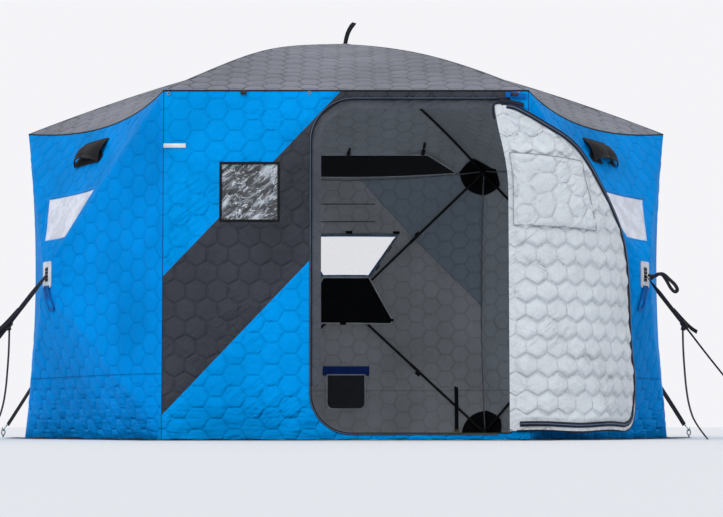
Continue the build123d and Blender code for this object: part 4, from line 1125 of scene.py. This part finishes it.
def leaf_place(c, z, out):
    """Point on the leaf at a place along its chord and up it, out on its lining side."""
    x, y = (np.interp(c, CHORD, PLAN[:, k]) for k in (0, 1))
    side = [np.interp(c, CHORD, LINING_SIDE[:, k]) for k in (0, 1)]
    lean = leaf_lean(z) * np.clip(1 - c / 0.25, 0, 1) ** 1.5
    return stack(HINGE[0] + x + side[0] * out - lean, HINGE[1] + y + side[1] * out, z)


def leaf_length(c):
    """Length along the leaf's plan curve at a place along its chord."""
    return np.interp(c, CHORD, LEAF_LENGTH)


def leaf_side(c):
    """Direction off the leaf's lining side."""
    return stack(*(np.interp(c, CHORD, LINING_SIDE[:, k]) for k in (0, 1)), 0.0)


def smooth_line(points, count):
    """Curve through points."""
    p = np.array(points, float)
    full = np.vstack([2 * p[0] - p[1], p, 2 * p[-1] - p[-2]])
    made = []
    for i in range(len(p) - 1):
        a, b, c, d = full[i:i + 4]
        t = np.linspace(0, 1, count, endpoint=False)[:, None]
        made.append(0.5 * (2 * b + (c - a) * t + (2 * a - 5 * b + 4 * c - d) * t ** 2
                           + (3 * b - a - 3 * c + d) * t ** 3))
    return np.vstack(made + [p[-1:]])


def leaf_free_edge():
    """Free outline from the top of the hinge round to the foot of the hinge."""
    near = 0.002
    points = [(near, LEAF_TOP)] + [(near + (LEAF_REACH - near) * a, z) for a, z in LEAF_OUTLINE]
    drooped = smooth_line(points, 14)
    corner = np.array((points[-1][0], LEAF_CORNER[1]))
    sill = np.array((near + (LEAF_REACH - near) * LEAF_SILL_END[0], LEAF_SILL_END[1]))
    t = np.linspace(0, 1, 14)[1:, None]
    turned = (1 - t) ** 2 * drooped[-1] + 2 * t * (1 - t) * corner + t * t * sill
    x = np.linspace(sill[0], near, 30)[1:]
    foot = stack(x, LEAF_FOOT + 0.004 * np.sin(x * 14))
    return np.vstack([drooped, turned, foot])


def inward(line, gap):
    """The same line moved to its inner side by a gap for each point."""
    ahead = unit(np.gradient(line, axis=0))
    return line + stack(ahead[:, 1], -ahead[:, 0]) * gap[:, None]


def leaf_drape(c, z, edge):
    """Slack shared by the leaf's two faces, towards its lining side."""
    upper = smooth((z - 1.40) / 0.08)
    droop = (0.016 * folds(leaf_length(c), z, -40, 0.060, 410) + 0.010 * folds(c, z, -62, 0.035, 414)) * upper
    droop *= smooth(c / 0.10)
    soft = 0.004 * waves(c, z, 0.45, 411) + 0.0016 * waves(c, z, 0.13, 412)
    soft += 0.0022 * folds(leaf_length(c), z, 28, 0.075, 415) + 0.0018 * folds(c, z, -35, 0.050, 416)
    foot = 0.006 * folds(c, z, 84, 0.13, 413) * smooth((0.16 - z) / 0.14)
    return (droop + soft + foot) * smooth(edge / 0.04)


def leaf():
    """The door's puffed lining and its outside."""
    hinged = [(0.002, z) for z in np.linspace(LEAF_FOOT + 0.05, LEAF_TOP - 0.05, 40)]
    flat, faces, edge = fill(np.vstack([leaf_free_edge(), hinged]), 0.0085)
    c, z = flat.T
    length = leaf_length(c)
    drape = leaf_drape(c, z, edge)
    top = smooth((z - 1.44) / 0.05)
    under_zip = 0.016 + 0.032 * smooth((0.42 - z) / 0.20)
    bumps = row_puffs(length + 0.02, z, LEAF_PUFF, 420) * (1 - 0.65 * top)
    bumps *= smooth((edge - under_zip) / 0.022) * smooth(c / 0.05)
    points = leaf_place(c, z, LEAF_HALF_THICK + drape + bumps)
    lining = piece("leaf_lining", [(points, faces, 0, stack(length + 0.02, z))], ["white"],
                   body="door", nodes=["door_leaf"])
    bumps = puffs(z, length, LEAF_OUTSIDE_PUFF, 421) * smooth(edge / 0.030)
    points = leaf_place(c, z, -LEAF_HALF_THICK + drape - bumps)
    middles = flat[faces].mean(axis=1)
    dark = middles[:, 1] > band_edge(HINGE[0] - leaf_length(middles[:, 0]), BAND_DROP)
    parts = [(points, faces[dark][:, ::-1], 0, stack(length, z)),
             (points, faces[~dark][:, ::-1], 1, stack(z, length))]
    outside = piece("leaf_outside", parts, ["dark", "blue"], body="door")


def leaf_zip():
    """Piping on the leaf's edge and the zip band inside it, wide of the edge round the foot."""
    line = resample(leaf_free_edge(), 0.012)
    c, z = line[line[:, 0] > 0.020].T
    parts = [sweep(leaf_place(c, z, 0.0), round_profile(0.0050), leaf_side(c))]
    gap = 0.008 + 0.025 * smooth((0.42 - line[:, 1]) / 0.25)
    inner = inward(line, gap)
    keep = (inner[:, 1] > LEAF_FOOT) & (inner[:, 0] > 0.034)
    c, z = inner[keep].T
    base = LEAF_HALF_THICK + leaf_drape(c, z, gap[keep]) + 0.0020 + 0.0030 * smooth(c / 0.06)
    parts.append(sweep(leaf_place(c, z, base), band_profile(0.026, 0.0035), leaf_side(c)))
    parts.append(sweep(leaf_place(c, z, base + 0.003), round_profile(0.0022, 6), leaf_side(c), 1))
    piece("leaf_zip_band", parts, ["navy_black", "zip_grey"], body="door", nodes=["door_leaf_binding"])


def leaf_flap():
    """Window cover sewn on the leaf's lining, with its own irregular quilting."""
    flat, faces, edge = fill(FLAP, 0.010)
    c, z = flat.T
    quilt = stack(z + 0.009 * waves(c, z, 0.2, 430), leaf_length(c) + 0.009 * waves(c, z, 0.2, 431))
    bent = puffs(*quilt.T, FLAP_PUFF, 432) * smooth(edge / 0.022)
    out = LEAF_HALF_THICK + leaf_drape(c, z, LEAF_FREE) + 0.003 + (0.0095 + bent) * smooth(c / 0.07)
    parts = [(leaf_place(c, z, out), faces, 0, quilt)]
    c, z = resample(FLAP, 0.012, True).T
    base = LEAF_HALF_THICK + leaf_drape(c, z, LEAF_FREE) + 0.005 + 0.0105 * smooth(c / 0.07)
    parts.append(sweep(leaf_place(c, z, base), round_profile(0.0016, 6), leaf_side(c), 1, True))
    flap = piece("leaf_window_cover", parts, ["white", "thread"], body="door",
                 nodes=["door_leaf_window_flap"])


def surround():
    """Padded draught strip behind the doorway's free side and head."""
    left, top, hinge_top = DOOR_LEFT + 0.050, DOOR_TOP - 0.048, DOOR_TOP - 0.025
    foot, lap, right, outer_radius = 0.270, 0.014, DOOR_RIGHT - 0.02, 0.229
    taper, r = DOOR_RIGHT - 0.110, DOOR_TOP_RADIUS - 0.048
    outer = arc((DOOR_LEFT - lap + outer_radius, DOOR_TOP + lap - outer_radius), outer_radius, 180, 90, 14)
    outline = [(DOOR_LEFT - lap, foot), *outer, (right, DOOR_TOP + lap), (right, hinge_top),
               (taper, hinge_top), (taper - 0.110, top), *arc((left + r, top - r), r, 90, 180, 14),
               (left, foot)]
    flat, faces, edge = fill(outline, 0.008)
    x, z = flat.T
    near = smooth((z - 1.35) / 0.2)
    gathers = 0.011 * folds(x, z, 32, 0.045, 441) * near + 0.003 * folds(x, z, 5, 0.09, 442) * (1 - near)
    bumps = puffs(z, x, 0.004, 440) * (1 - near)
    y = FRONT_Y + FABRIC + 0.003 - (gathers + bumps) * smooth(edge / 0.014)
    y = np.maximum(y, FRONT_Y + FABRIC - 0.006 + 0.004 * (edge < 0.02))
    strip = piece("doorway_draught_strip", [(stack(x, y, z), faces[:, ::-1], 0, stack(z, x))], ["surround"],
                  nodes=["door_surround"])


# ---- Vent hoods, hub fittings, stays and loose straps ----
HOOD_HALF, HOOD_TOP, HOOD_DROP, HOOD_REACH = 0.165, 1.600, 0.118, 0.092


def vent_hoods():
    """Stiff flaps over the vents: sewn along the top, standing out, with a lifted lip."""
    cloth = []
    rows, columns = 16, 50
    u, v = (axis.ravel() for axis in np.meshgrid(np.linspace(0, 1, columns), np.linspace(0, 1, rows)))
    arch = 1 - (2 * u - 1) ** 4
    crease = np.exp(-((u - 0.48) / 0.07) ** 2)
    s = (2 * u - 1) * HOOD_HALF * (1 - 0.04 * v)
    for k, angle in enumerate(HUB_WALLS.values()):
        sewn = wall_out(angle, s, np.full_like(s, HOOD_TOP)) + 0.004
        out = sewn + (HOOD_REACH * (0.70 + 0.30 * arch) - 0.006 * crease) * np.sin(0.5 * math.pi * v)
        z = HOOD_TOP + 0.006 * arch - HOOD_DROP * (1 - 0.20 * arch) * v ** 1.35
        z += 0.003 * waves(u, v, 0.8, 510 + k) * v + 0.004 * crease * v
        points = to_frame(angle, s, out, z)
        cloth.append((points, grid_faces(rows, columns), 0, stack(s, v * 0.2)))
        grid = points.reshape(rows, columns, 3)
        for line, width in ((grid[-1], 0.016), (grid[:, 0], 0.010), (grid[:, -1], 0.010), (grid[0], 0.012)):
            cloth.append(sweep(line, band_profile(width, 0.004), outward(angle), 1))
    hoods = piece("vent_hood_cloth", cloth, ["black_cloth", "zip"], nodes=["vent_hoods"])
    u = np.linspace(0, 1, 30)
    top, low = stack((2 * u - 1) * 0.19, bend(1.505, 1.625, 1.505, u)), stack((1 - 2 * u) * 0.17, 1.475)
    flat, faces, _ = fill(np.vstack([top, low]), 0.012)
    s, z = flat.T
    openings = [(to_frame(angle, s, wall_out(angle, s, z) + 0.0075, z), faces[:, ::-1], 0, flat)
                for angle in HUB_WALLS.values()]
    vents = piece("vent_meshes", openings, ["black_cloth"])


def hub_fittings():
    """Stitched patch behind each hub plate, its black pull patch and the blue loop below."""
    patches, loops = [], []
    loop = [(-0.026, -0.066), (-0.030, -0.110), (-0.031, -0.165), (-0.026, -0.182), (0.0, -0.186),
            (0.026, -0.181), (0.031, -0.160), (0.029, -0.105), (0.026, -0.066)]
    ties = [[(s, -0.068), (s * 0.7, -0.100), (s * 1.3, -0.135)] for s in (-0.012, 0.012)]
    for angle in HUB_WALLS.values():
        def strip(line, off, width, thick, slot=0, closed=False):
            """Webbing on the hub's plate along a line from the plate's middle."""
            s, z = np.array(line).T
            return sweep(to_frame(angle, s, HUB_REACH + off, HUB_HEIGHT + z), band_profile(width, thick),
                         outward(angle), slot, closed)

        border = [(-0.049, -0.064), (0.049, -0.064), (0.049, 0.064), (-0.049, 0.064)]
        patches.append(strip(resample(border, 0.01, True), 0.0046, 0.0022, 0.0012, closed=True))
        for z0 in (0.028, 0.010, -0.010, -0.028):
            patches.append(strip([(-0.018, z0), (0.018, z0)], 0.0058, 0.016, 0.0024, 1))
        for k, line in enumerate([loop, *ties]):
            off, width, thick = (0.013, 0.009, 0.002) if k else (0.010, 0.019, 0.0024)
            s, z = resample(smooth_line(line, 6), 0.006).T
            path = to_frame(angle, s, wall_out(angle, s, HUB_HEIGHT + z) + off, HUB_HEIGHT + z)
            loops.append(sweep(path, band_profile(width, thick), outward(angle)))
        loops.append(strip([(-0.034, -0.066), (0.034, -0.066)], 0.0062, 0.016, 0.003))
    piece("hub_plate_trim", patches, ["plate", "webbing"])
    piece("hub_blue_loops", loops, ["blue_webbing"], nodes=["hub_pull_loops"])


STAY_START = (HUB_REACH + 0.004, HUB_HEIGHT)
STAY_END = (2.500 - 0.036, 0.078)
STAY_WAY = np.array(STAY_END) - np.array(STAY_START)
STAY_ALONG = unit(STAY_WAY)
BUCKLE_SHARE = 0.34
SPARE_LOOP = ((1.600, 0.868), (1.632, 0.862), (1.655, 0.873), (1.676, 0.868), (1.700, 0.836), (1.722, 0.800),
              (1.744, 0.780), (1.756, 0.792), (1.742, 0.818), (1.712, 0.846), (1.676, 0.874), (1.640, 0.866),
              (1.612, 0.846))


def stay_point(angle, share, across=0.0, off=0.0):
    """Point on a stay: share of its way, across it and off its upper side."""
    return to_frame(angle, across, STAY_START[0] + STAY_WAY[0] * share - STAY_ALONG[1] * off,
                    STAY_START[1] + STAY_WAY[1] * share + STAY_ALONG[0] * off)


def stay_up(angle):
    """Direction off a stay's upper side."""
    return -STAY_ALONG[1] * outward(angle) + np.array((0, 0, STAY_ALONG[0]))


STAY_TWISTS = {210: ((0, 0.05, 0.16, 0.34, 0.60, 1), (10, 30, 75, 60, 50, 75)),
               330: ((0, 0.05, 0.13, 0.31, 0.38, 1), (10, 30, 80, 75, 25, 20))}


def stay_run(angle, first, last, off, wave, seed):
    """One layer of a stay's webbing between two shares of its way, twisted about its length."""
    share = np.linspace(first, last, 50)
    t = (share - first) / (last - first)
    path = stay_point(angle, share, 0.0, off + wave * np.sin(math.pi * t) * np.sin(5 * t + seed))
    turn = np.radians(np.interp(share, *STAY_TWISTS.get(angle, ((0, 1), (70, 80)))))[:, None]
    twisted = stay_up(angle) * np.cos(turn) + wall_side(angle) * np.sin(turn)
    return sweep(path, band_profile(STRAP_WIDTH, STRAP_THICK), twisted)


def stays():
    """Taut webbing from each hub to its anchor hook, doubled between the buckle and the hook."""
    straps, buckles = [], []
    for k, angle in enumerate(HUB_WALLS.values()):
        up, side = stay_up(angle), wall_side(angle)
        for first, last, off, wave in ((0.0, BUCKLE_SHARE, 0.0, 0.0), (BUCKLE_SHARE, 1.0, 0.0020, 0.002),
                                       (BUCKLE_SHARE, 1.0, -0.0020, 0.002)):
            straps.append(stay_run(angle, first, last, off, wave, k))
        centre = stay_point(angle, BUCKLE_SHARE)
        along = unit(stay_point(angle, BUCKLE_SHARE + 0.02) - centre)
        turn = math.radians(60)
        face, wide = up * math.cos(turn) + side * math.sin(turn), side * math.cos(turn) - up * math.sin(turn)
        ring = [centre + wide * a * 0.0165 + along * b * 0.022
                for a, b in ((-1, -1), (1, -1), (1, 1), (-1, 1))]
        ring = [a * near + b * (1 - near) for a, b in zip(ring, ring[1:] + ring[:1]) for near in (0.85, 0.15)]
        buckles.append(sweep(ring, round_profile(0.0042), face, closed=True))
        for b in (-0.006, 0.010):
            bar = [centre + along * b + wide * a * 0.016 + face * 0.003 for a in (-1, 1)]
            buckles.append(sweep(bar, band_profile(0.008, 0.005), face))
        if angle in (210, 330):
            hung = [centre + np.array((0, 0, drop)) + outward(angle) * out
                    for out, drop in ((0, 0), (-0.003, -0.012), (-0.007, -0.030))]
            straps.append(sweep(hung, band_profile(STRAP_WIDTH, 0.0028), side))
            end = [stay_point(angle, BUCKLE_SHARE + share, 0.004, off)
                   for share, off in ((-0.10, 0.004), (0.0, 0.012), (0.045, 0.020), (0.075, 0.030))]
            straps.append(sweep(smooth_line(end, 6), band_profile(STRAP_WIDTH, STRAP_THICK), face))
    x, z = smooth_line(SPARE_LOOP, 6).T
    depth = MID_Y - 0.945 - 0.010 * np.sin(np.linspace(0, 3 * math.pi, len(x)))
    turn = np.linspace(0.3, 2.6, len(x))
    ups = stack(0.5 * np.cos(turn), -np.abs(np.sin(turn)) - 0.2, 0.5 * np.sin(turn))
    straps.append(sweep(stack(x, depth, z), band_profile(0.020, 0.0022), ups))
    piece("stay_webbing", straps, ["webbing"], nodes=["stay_straps"])
    piece("stay_ladder_locks", buckles, ["hub"], nodes=["stay_buckles"])


STAY_TAIL = [(0, 0), (0, -0.095), (0.006, -0.200), (0.014, -0.310), (0.030, -0.410), (0.062, -0.498)]
STAY_TAIL_REACH = 0.130
TIE_STRAP = [(0, 0), (0.026, -0.030), (0.040, -0.095), (0.045, -0.180), (0.042, -0.286)]


def route_line(points):
    """The smooth line that a cord's route makes, as points."""
    curve = bpy.data.curves.new("route", "CURVE")
    curve.dimensions = "3D"
    spline = curve.splines.new("NURBS")
    spline.points.add(len(points) - 1)
    for point, place in zip(spline.points, points):
        point.co = (*place, 1)
    spline.order_u = 3
    spline.use_endpoint_u = True
    spline.resolution_u = 8
    obj = linked(bpy.data.objects.new("route", curve))
    bpy.context.view_layer.update()
    mesh = bpy.data.meshes.new_from_object(obj)
    line = np.array([tuple(v.co) for v in mesh.vertices])
    bpy.data.meshes.remove(mesh)
    bpy.data.objects.remove(obj)
    bpy.data.curves.remove(curve)
    return line


def loose_strap(name, start, forward, sideways, route, node):
    """Flat loose strap along a route in the upright plane through start."""
    points = [tuple(np.array(start) + np.array(forward) * a + np.array((0, 0, b))) for a, b in route]
    line = route_line(points)
    off_side = np.cross(sideways, unit(np.gradient(line, axis=0)))
    strap = sweep(line, band_profile(STRAP_WIDTH, STRAP_THICK), off_side)
    obj = piece(name, [strap], ["webbing"], nodes=[node])
    length = float(lengths_along(line)[-1])
    tuple(points[0])
    return obj


def loose_straps():
    """Loose ends of the two front stays, and the tie strap on the back lining."""
    for name, angle in (("left", 210), ("right", 330)):
        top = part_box(f"stay_tail_{name}")[1].z
        first = to_frame(angle, 0.0, STAY_START[0] + STAY_WAY[0] * BUCKLE_SHARE - 0.007, top)
        route = STAY_TAIL + [(STAY_TAIL_REACH, -top + 0.00225)]
        loose_strap(f"loose_tail_{name}", first, outward(angle), wall_side(angle), route,
                    f"stay_tail_{name}")
    low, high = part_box("lining_tie_strap")
    first = ((low.x + high.x) / 2, high.y - 0.002, high.z - 0.001)
    metal = strap_end((first[0], first[1] - TIE_STRAP[-1][0], first[2] + TIE_STRAP[-1][1]))
    loose_strap("tie_strap", first, TO_FRONT, (1, 0, 0), TIE_STRAP, "lining_tie_strap")


def strap_end(place):
    """Folded metal tip on the end of the tie strap."""
    bar = [np.array(place) + np.array((x, 0, 0)) for x in (-0.0135, 0.0135)]
    return piece("tie_strap_end", [sweep(bar, band_profile(0.018, 0.0060), TO_FRONT)], ["brass"])


def roof_loop():
    """Pull loop of webbing that stands on the peak and leans to one side."""
    t = np.linspace(0, 1, 44)
    rise = np.sin(math.pi * t) ** 0.85
    path = stack(-0.006 + 0.020 * rise + 0.034 * rise ** 3,
                 MID_Y - 0.017 * np.cos(math.pi * t) * (0.5 + 0.8 * rise),
                 PEAK_HEIGHT + 0.004 + 0.136 * rise)
    ups = stack(0.35, -np.cos(math.pi * t), np.sin(math.pi * t) ** 6)
    patch = [(x, MID_Y, PEAK_HEIGHT + 0.005) for x in (-0.05, 0.05)]
    piece("peak_pull_loop", [sweep(path, band_profile(STRAP_WIDTH, 0.0026), ups),
                             sweep(patch, band_profile(0.032, 0.003), UP)], ["webbing"],
          nodes=["roof_pull_loop"])


# ---- Inside ----
def corner_patches():
    """Black reinforcement discs over the corners, on walls and roof, with grey seams across them."""
    cloth = []
    reach, top = SIDE - FABRIC / COS30, WALL_HEIGHT - FABRIC
    for angle in ALL_WALLS:
        for side in (-1, 1) if angle != FRONT else (-1,):
            for z0, radius, start in ((top, 0.175, 180), (FOOT, 0.165, 90)):
                outline = [(side * (reach / 2 + a), z0 + b)
                           for a, b in arc((0, 0), radius, start, start + 90, 16)]
                flat, faces, _ = fill(outline + [(side * reach / 2, z0)], 0.016)
                s, z = flat.T
                out = np.full(len(s), APOTHEM - FABRIC) if angle == FRONT else wall_out(angle, s, z, FABRIC)
                rim = distance(flat, resample(outline, 0.01))
                out -= 0.010 + 0.009 * smooth(rim / 0.02)
                cloth.append((to_frame(angle, s, out, z), faces, 0, flat))
        for side in (-1, 1):
            outline = [(side * (reach / 2 + a), reach * COS30 + b)
                       for a, b in arc((0, 0), 0.175, 180, 240, 12)]
            flat, faces, _ = fill(outline + [(side * reach / 2, reach * COS30)], 0.016)
            s, out = flat.T
            z = gore_height(s, out, angle != FRONT, FABRIC) - 0.016
            cloth.append((to_frame(angle, s, out, z), faces, 0, flat))
    patches = piece("corner_reinforcements", cloth, ["black_cloth"])
    tube = round_profile(0.0042, 6)
    u = np.linspace(0.005, 0.995, 50)
    seams = [sweep(corner_line(angle, FABRIC + 0.020, (0.01, 0.99)), tube, outward(angle))
             for angle in CORNERS]
    seams += [sweep(eave_point(angle, u, FABRIC + 0.016), tube, UP) for angle in ALL_WALLS]
    piece("inside_seam_piping", seams, ["thread"])


def back_wall_point(x, z, inward_by):
    """Point in front of the back wall's lining."""
    x, z = np.broadcast_arrays(np.asarray(x, float), np.asarray(z, float))
    return to_frame(BACK, -x, wall_out(BACK, -x, z, FABRIC) - inward_by, z)


def on_back(x, z, off, width, thick, slot=0, closed=False):
    """Flat trim on the back wall's lining."""
    return sweep(back_wall_point(x, z, off), band_profile(width, thick), TO_FRONT, slot, closed)


def tab_ends(place, turn, half):
    """Ends of a short tab that is turned by degrees about its place."""
    t = math.radians(turn)
    return place[0] + np.array((-half, half)) * math.cos(t), place[1] + np.array((-half, half)) * math.sin(t)


def back_wall_details():
    """Velcro seams of the vent, tabs round the window and its grey edge, all on the back lining."""
    parts = [on_back(np.linspace(-0.19, 0.19, 24), z, 0.010, 0.005, 0.002) for z in (1.513, 1.402)]
    for x, z, turn in ((0.02, 1.335, 0), (0.33, 1.335, 0), (-0.30, 1.335, 0), (0.285, 1.235, 57),
                       (-0.285, 1.235, -57), (0.205, 1.115, 57), (-0.205, 1.115, -57)):
        parts.append(on_back(*tab_ends((x, z), turn, 0.022), 0.012, 0.018, 0.004))
    x = np.linspace(PANEL_X, 0.880, 60)
    parts.append(on_back(x, PANEL_Z - (x - PANEL_X) * PANEL_SLOPE, 0.012, 0.003, 0.003, 1))
    parts.append(on_back(*resample(window_outline(0.008), 0.03, True).T, 0.012, 0.012, 0.004, 1, True))
    piece("back_lining_details", parts, ["black_cloth", "thread"])


def gear_net():
    """Mesh shelf hung from the roof, with grey piping on its edges and a hook at each hanger."""
    front_y, back_y = MID_Y + 1.270, MID_Y + APOTHEM - EAVE_PULL - FABRIC - 0.020
    half_front, half_back, front_z, back_z = 0.520, 0.720, 1.798, 1.706
    rows, columns = 14, 70
    u, v = (axis.ravel() for axis in np.meshgrid(np.linspace(-1, 1, columns), np.linspace(0, 1, rows)))
    half = half_front + (half_back - half_front) * v
    sag = 0.022 * (1 - u ** 2) * np.sin(math.pi * v) + 0.026 * (1 - u ** 2) * v
    points = stack(u * half, front_y + (back_y - front_y) * v, front_z + (back_z - front_z) * v - sag)
    net = piece("gear_shelf_net", [(points, grid_faces(rows, columns), 0, stack(u, v))], ["net"],
                nodes=["gear_net"])
    grid = points.reshape(rows, columns, 3)
    loop = np.vstack([grid[0], grid[1:, -1], grid[-1, -2::-1], grid[-2:0:-1, 0]])
    parts = [sweep(loop, round_profile(0.0050, 6), UP, closed=True)]
    out = front_y - MID_Y - 0.085
    for x in (-0.490, 0.013, 0.490):
        top = gore_height(np.array([-x]), np.array([out]), True, FABRIC)[0] - 0.008
        low, high = np.array((x, front_y, front_z - 0.004)), np.array((x + 0.012, MID_Y + out, top))
        for first, last, width, deep in ((0.0, 1.0, 0.010, 0.003), (0.05, 0.42, 0.024, 0.009),
                                         (0.60, 0.92, 0.018, 0.008)):
            bar = [low + (high - low) * share for share in (first, last)]
            parts.append(sweep(bar, band_profile(width, deep), TO_FRONT, 1))
    piece("gear_net_trim", parts, ["trim", "hub"])


def pocket():
    """Mesh pocket with a navy band, on the back wall's lower lining."""
    low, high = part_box("wall_pocket")
    width, height, middle = high.x - low.x, high.z - low.z, (low.x + high.x) / 2
    half, round_corner = width / 2 - 0.028, 0.04
    left, right, foot = middle - half, middle + half, low.z + round_corner
    outline = ([(right, low.z + height * 0.80), (left, low.z + height * 0.80)]
               + arc((left + round_corner, foot), round_corner, 180, 270, 8)
               + arc((right - round_corner, foot), round_corner, 270, 360, 8))
    flat, faces, edge = fill(outline, 0.012)
    x, z = flat.T
    belly = 0.010 * smooth(edge / 0.06) + 0.003 * waves(x, z, 0.1, 601) * smooth(edge / 0.03)
    part = (back_wall_point(x, z, 0.007 + belly), faces[:, ::-1], 0, flat)
    net = piece("pocket_mesh", [part], ["pocket_net"], nodes=["wall_pocket"])
    band = np.linspace(middle - width / 2, middle + width / 2, 14)
    parts = [on_back(*resample(outline, 0.012, True).T, 0.008, 0.009, 0.004, closed=True),
             on_back(band, low.z + height * 0.89, 0.012, 0.062, 0.006, 1)]
    piece("pocket_trim", parts, ["trim", "navy"])


def blackout_flap():
    """Window cover that hangs open below the back window, with grey edging."""
    low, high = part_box("window_blackout_flap")
    y, top, foot = low.y + 0.004, high.z - 0.012, low.z
    half_top, half_foot = 0.150, 0.305

    def hung(x, z, off=0.0):
        """Place on the flap, off it towards the room."""
        sway = 0.006 * waves(x, z, 0.30, 611) + 0.005 * folds(x, z, 75, 0.13, 612)
        share = (top - z) / (top - foot)
        return stack(x, y + 0.004 - sway * smooth(share / 0.3) - 0.006 * share - off, z)

    outline = [(-half_foot, foot + 0.010), (half_foot - 0.01, foot + 0.004), (half_foot, foot + 0.03),
               (half_top, top), (-half_top, top)]
    flat, faces, _ = fill(outline, 0.014)
    flap = piece("window_cover_back", [(hung(*flat.T), faces, 0, flat)], ["black_cloth"],
                 nodes=["window_blackout_flap"])
    edging = hung(*resample(outline, 0.02, True).T, 0.006)
    parts = [sweep(edging, band_profile(0.010, 0.004), TO_FRONT, closed=True)]
    middle = (top + foot) / 2
    for x, z, turn in ((-0.02, foot + 0.006, 0), (0.20, middle, -64), (-0.20, middle, 64),
                       (0.292, foot + 0.03, -10)):
        ends = tab_ends((x, z), turn, 0.02)
        parts.append(sweep(stack(ends[0], y - 0.010, ends[1]), band_profile(0.018, 0.004), TO_FRONT, 1))
    piece("window_cover_trim", parts, ["trim", "black_cloth"])


def skirt():
    """Thin cloth skirt that lies on the ice round the walls, wavy at its outer edge."""
    outer, inner = [], []
    reach = (APOTHEM + SKIRT_REACH) / COS30 - 0.004
    for i, angle in enumerate(CORNERS):
        start, end = outward(angle)[:2], outward(angle + 60)[:2]
        for t in np.linspace(0, 1, 60, endpoint=False):
            p = start * (1 - t) + end * t
            outer.append(p * (reach - 0.020 * (1 + math.sin(17 * t + 3 * i) * math.sin(7.3 * t + i))))
            inner.append(p * (APOTHEM - FABRIC) / COS30)
    flat, faces, edge = fill(np.array(outer), 0.022, [np.array(inner)])
    x, y = flat.T
    lift = 0.0025 + 0.004 * np.abs(waves(x, y, 0.25, 620)) * smooth(edge / 0.03)
    lift += 0.003 * np.abs(folds(x, y, 40, 0.11, 621))
    part = (stack(x, y + MID_Y, np.clip(lift, 0.001, 0.014)), faces, 0, flat)
    cloth = piece("skirt_cloth", [part], ["skirt"], nodes=["ground_skirt"])


def small_front_details():
    """Reflective strip, grommets, stitched corner ring, tabs and the blue tab at the hinge's top."""
    face = FRONT_Y - 0.006

    def strip(x, z, off, width, thick, slot=0):
        """Flat trim in front of the wall."""
        return sweep(stack(x, face - off, z), band_profile(width, thick), TO_FRONT, slot)

    parts = [strip(np.array((-0.916, -0.804)), 1.473, 0.001, 0.022, 0.002)]
    for x, z in ((-0.892, 1.736), (-0.184, 1.741), (0.868, 1.736)):
        ring = np.array(arc((x, z), 0.007, 0, 337.5, 16))
        parts.append(sweep(stack(ring[:, 0], face, ring[:, 1]), round_profile(0.0022, 6), TO_FRONT, 1, True))
    piece("front_small_trim", parts, ["reflective", "steel"])
    x, t = np.linspace(0.800, 0.905, 12), np.linspace(0, 1, 16)
    pull = smooth_line([(0.757, face - 0.010, 1.690), (0.740, face - 0.014, 1.675),
                        (0.738, face - 0.014, 1.640), (0.746, face - 0.012, 1.606)], 8)
    tabs = [strip(x, 1.7300 - 0.010 * ((x - 0.80) / 0.10) ** 2, 0.008, 0.028, 0.004),
            strip(np.array((0.826, 0.862)), np.array((1.732, 1.730)), 0.012, 0.020, 0.008, 1),
            strip(0.768 + 0.124 * t, 1.697 - 0.022 * t ** 2, 0.010, 0.021, 0.004, 2),
            sweep(pull, band_profile(0.012, 0.003), TO_FRONT, 2)]
    piece("hinge_top_tab", tabs, ["blue_webbing", "hub", "navy_black"])
    piece("eave_clip", [strip(np.array((-0.530, -0.500)), 1.742, 0.006, 0.022, 0.010)], ["hub"])


SLEEVE = 0.0028
POLE_INSET = FABRIC + 0.02
KEPT_NODES = {
    "wall_hubs": "hub",
    "roof_hub": "hub",
    "corner_sockets": "hub",
    "hub_plates": "plate",
    "stay_hooks": "wire",
    "ground_anchors": "steel",
}


def sleeved_poles():
    """The poles in their thin cloth sleeves, with the ferrules that join their halves."""
    for name in ("wall_poles", "roof_poles"):
        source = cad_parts[name]
        points = [source.matrix_world @ (v.co + v.normal * SLEEVE) for v in source.data.vertices]
        faces = [tuple(f.vertices) for f in source.data.polygons]
        part = (np.array([tuple(p) for p in points]), faces, 0, None)
        piece(name.replace("poles", "pole_sleeves"), [part], ["pole"], nodes=[name])
    rings = []
    share = np.array((0.4856, 0.5144))
    for angle in HUB_WALLS.values():
        for start, end in pole_lines(POLE_INSET):
            s, z = (a + (b - a) * share for a, b in zip(start, end))
            path = to_frame(angle, s, wall_out(angle, s, z, POLE_INSET), z)
            rings.append(sweep(path, round_profile(0.0125, 10), UP))
    piece("pole_ferrules", rings, ["hub"])


def kept_nodes():
    """CAD pieces whose shape is right get their finish."""
    for name, finish in KEPT_NODES.items():
        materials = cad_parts[name].data.materials
        if not materials:
            materials.append(M[finish])
        for k in range(len(materials)):
            materials[k] = M[finish]


camera()
stage()
for number, (wall_name, wall_angle) in enumerate(HUB_WALLS.items()):
    hub_wall(wall_name, wall_angle, 100 + 10 * number)
hub_wall_windows()
roof()
piping()
front_wall()
front_window()
door_zips()
leaf()
leaf_zip()
leaf_flap()
surround()
vent_hoods()
hub_fittings()
stays()
loose_straps()
roof_loop()
corner_patches()
back_wall_details()
gear_net()
pocket()
blackout_flap()
skirt()
small_front_details()
sleeved_poles()
kept_nodes()
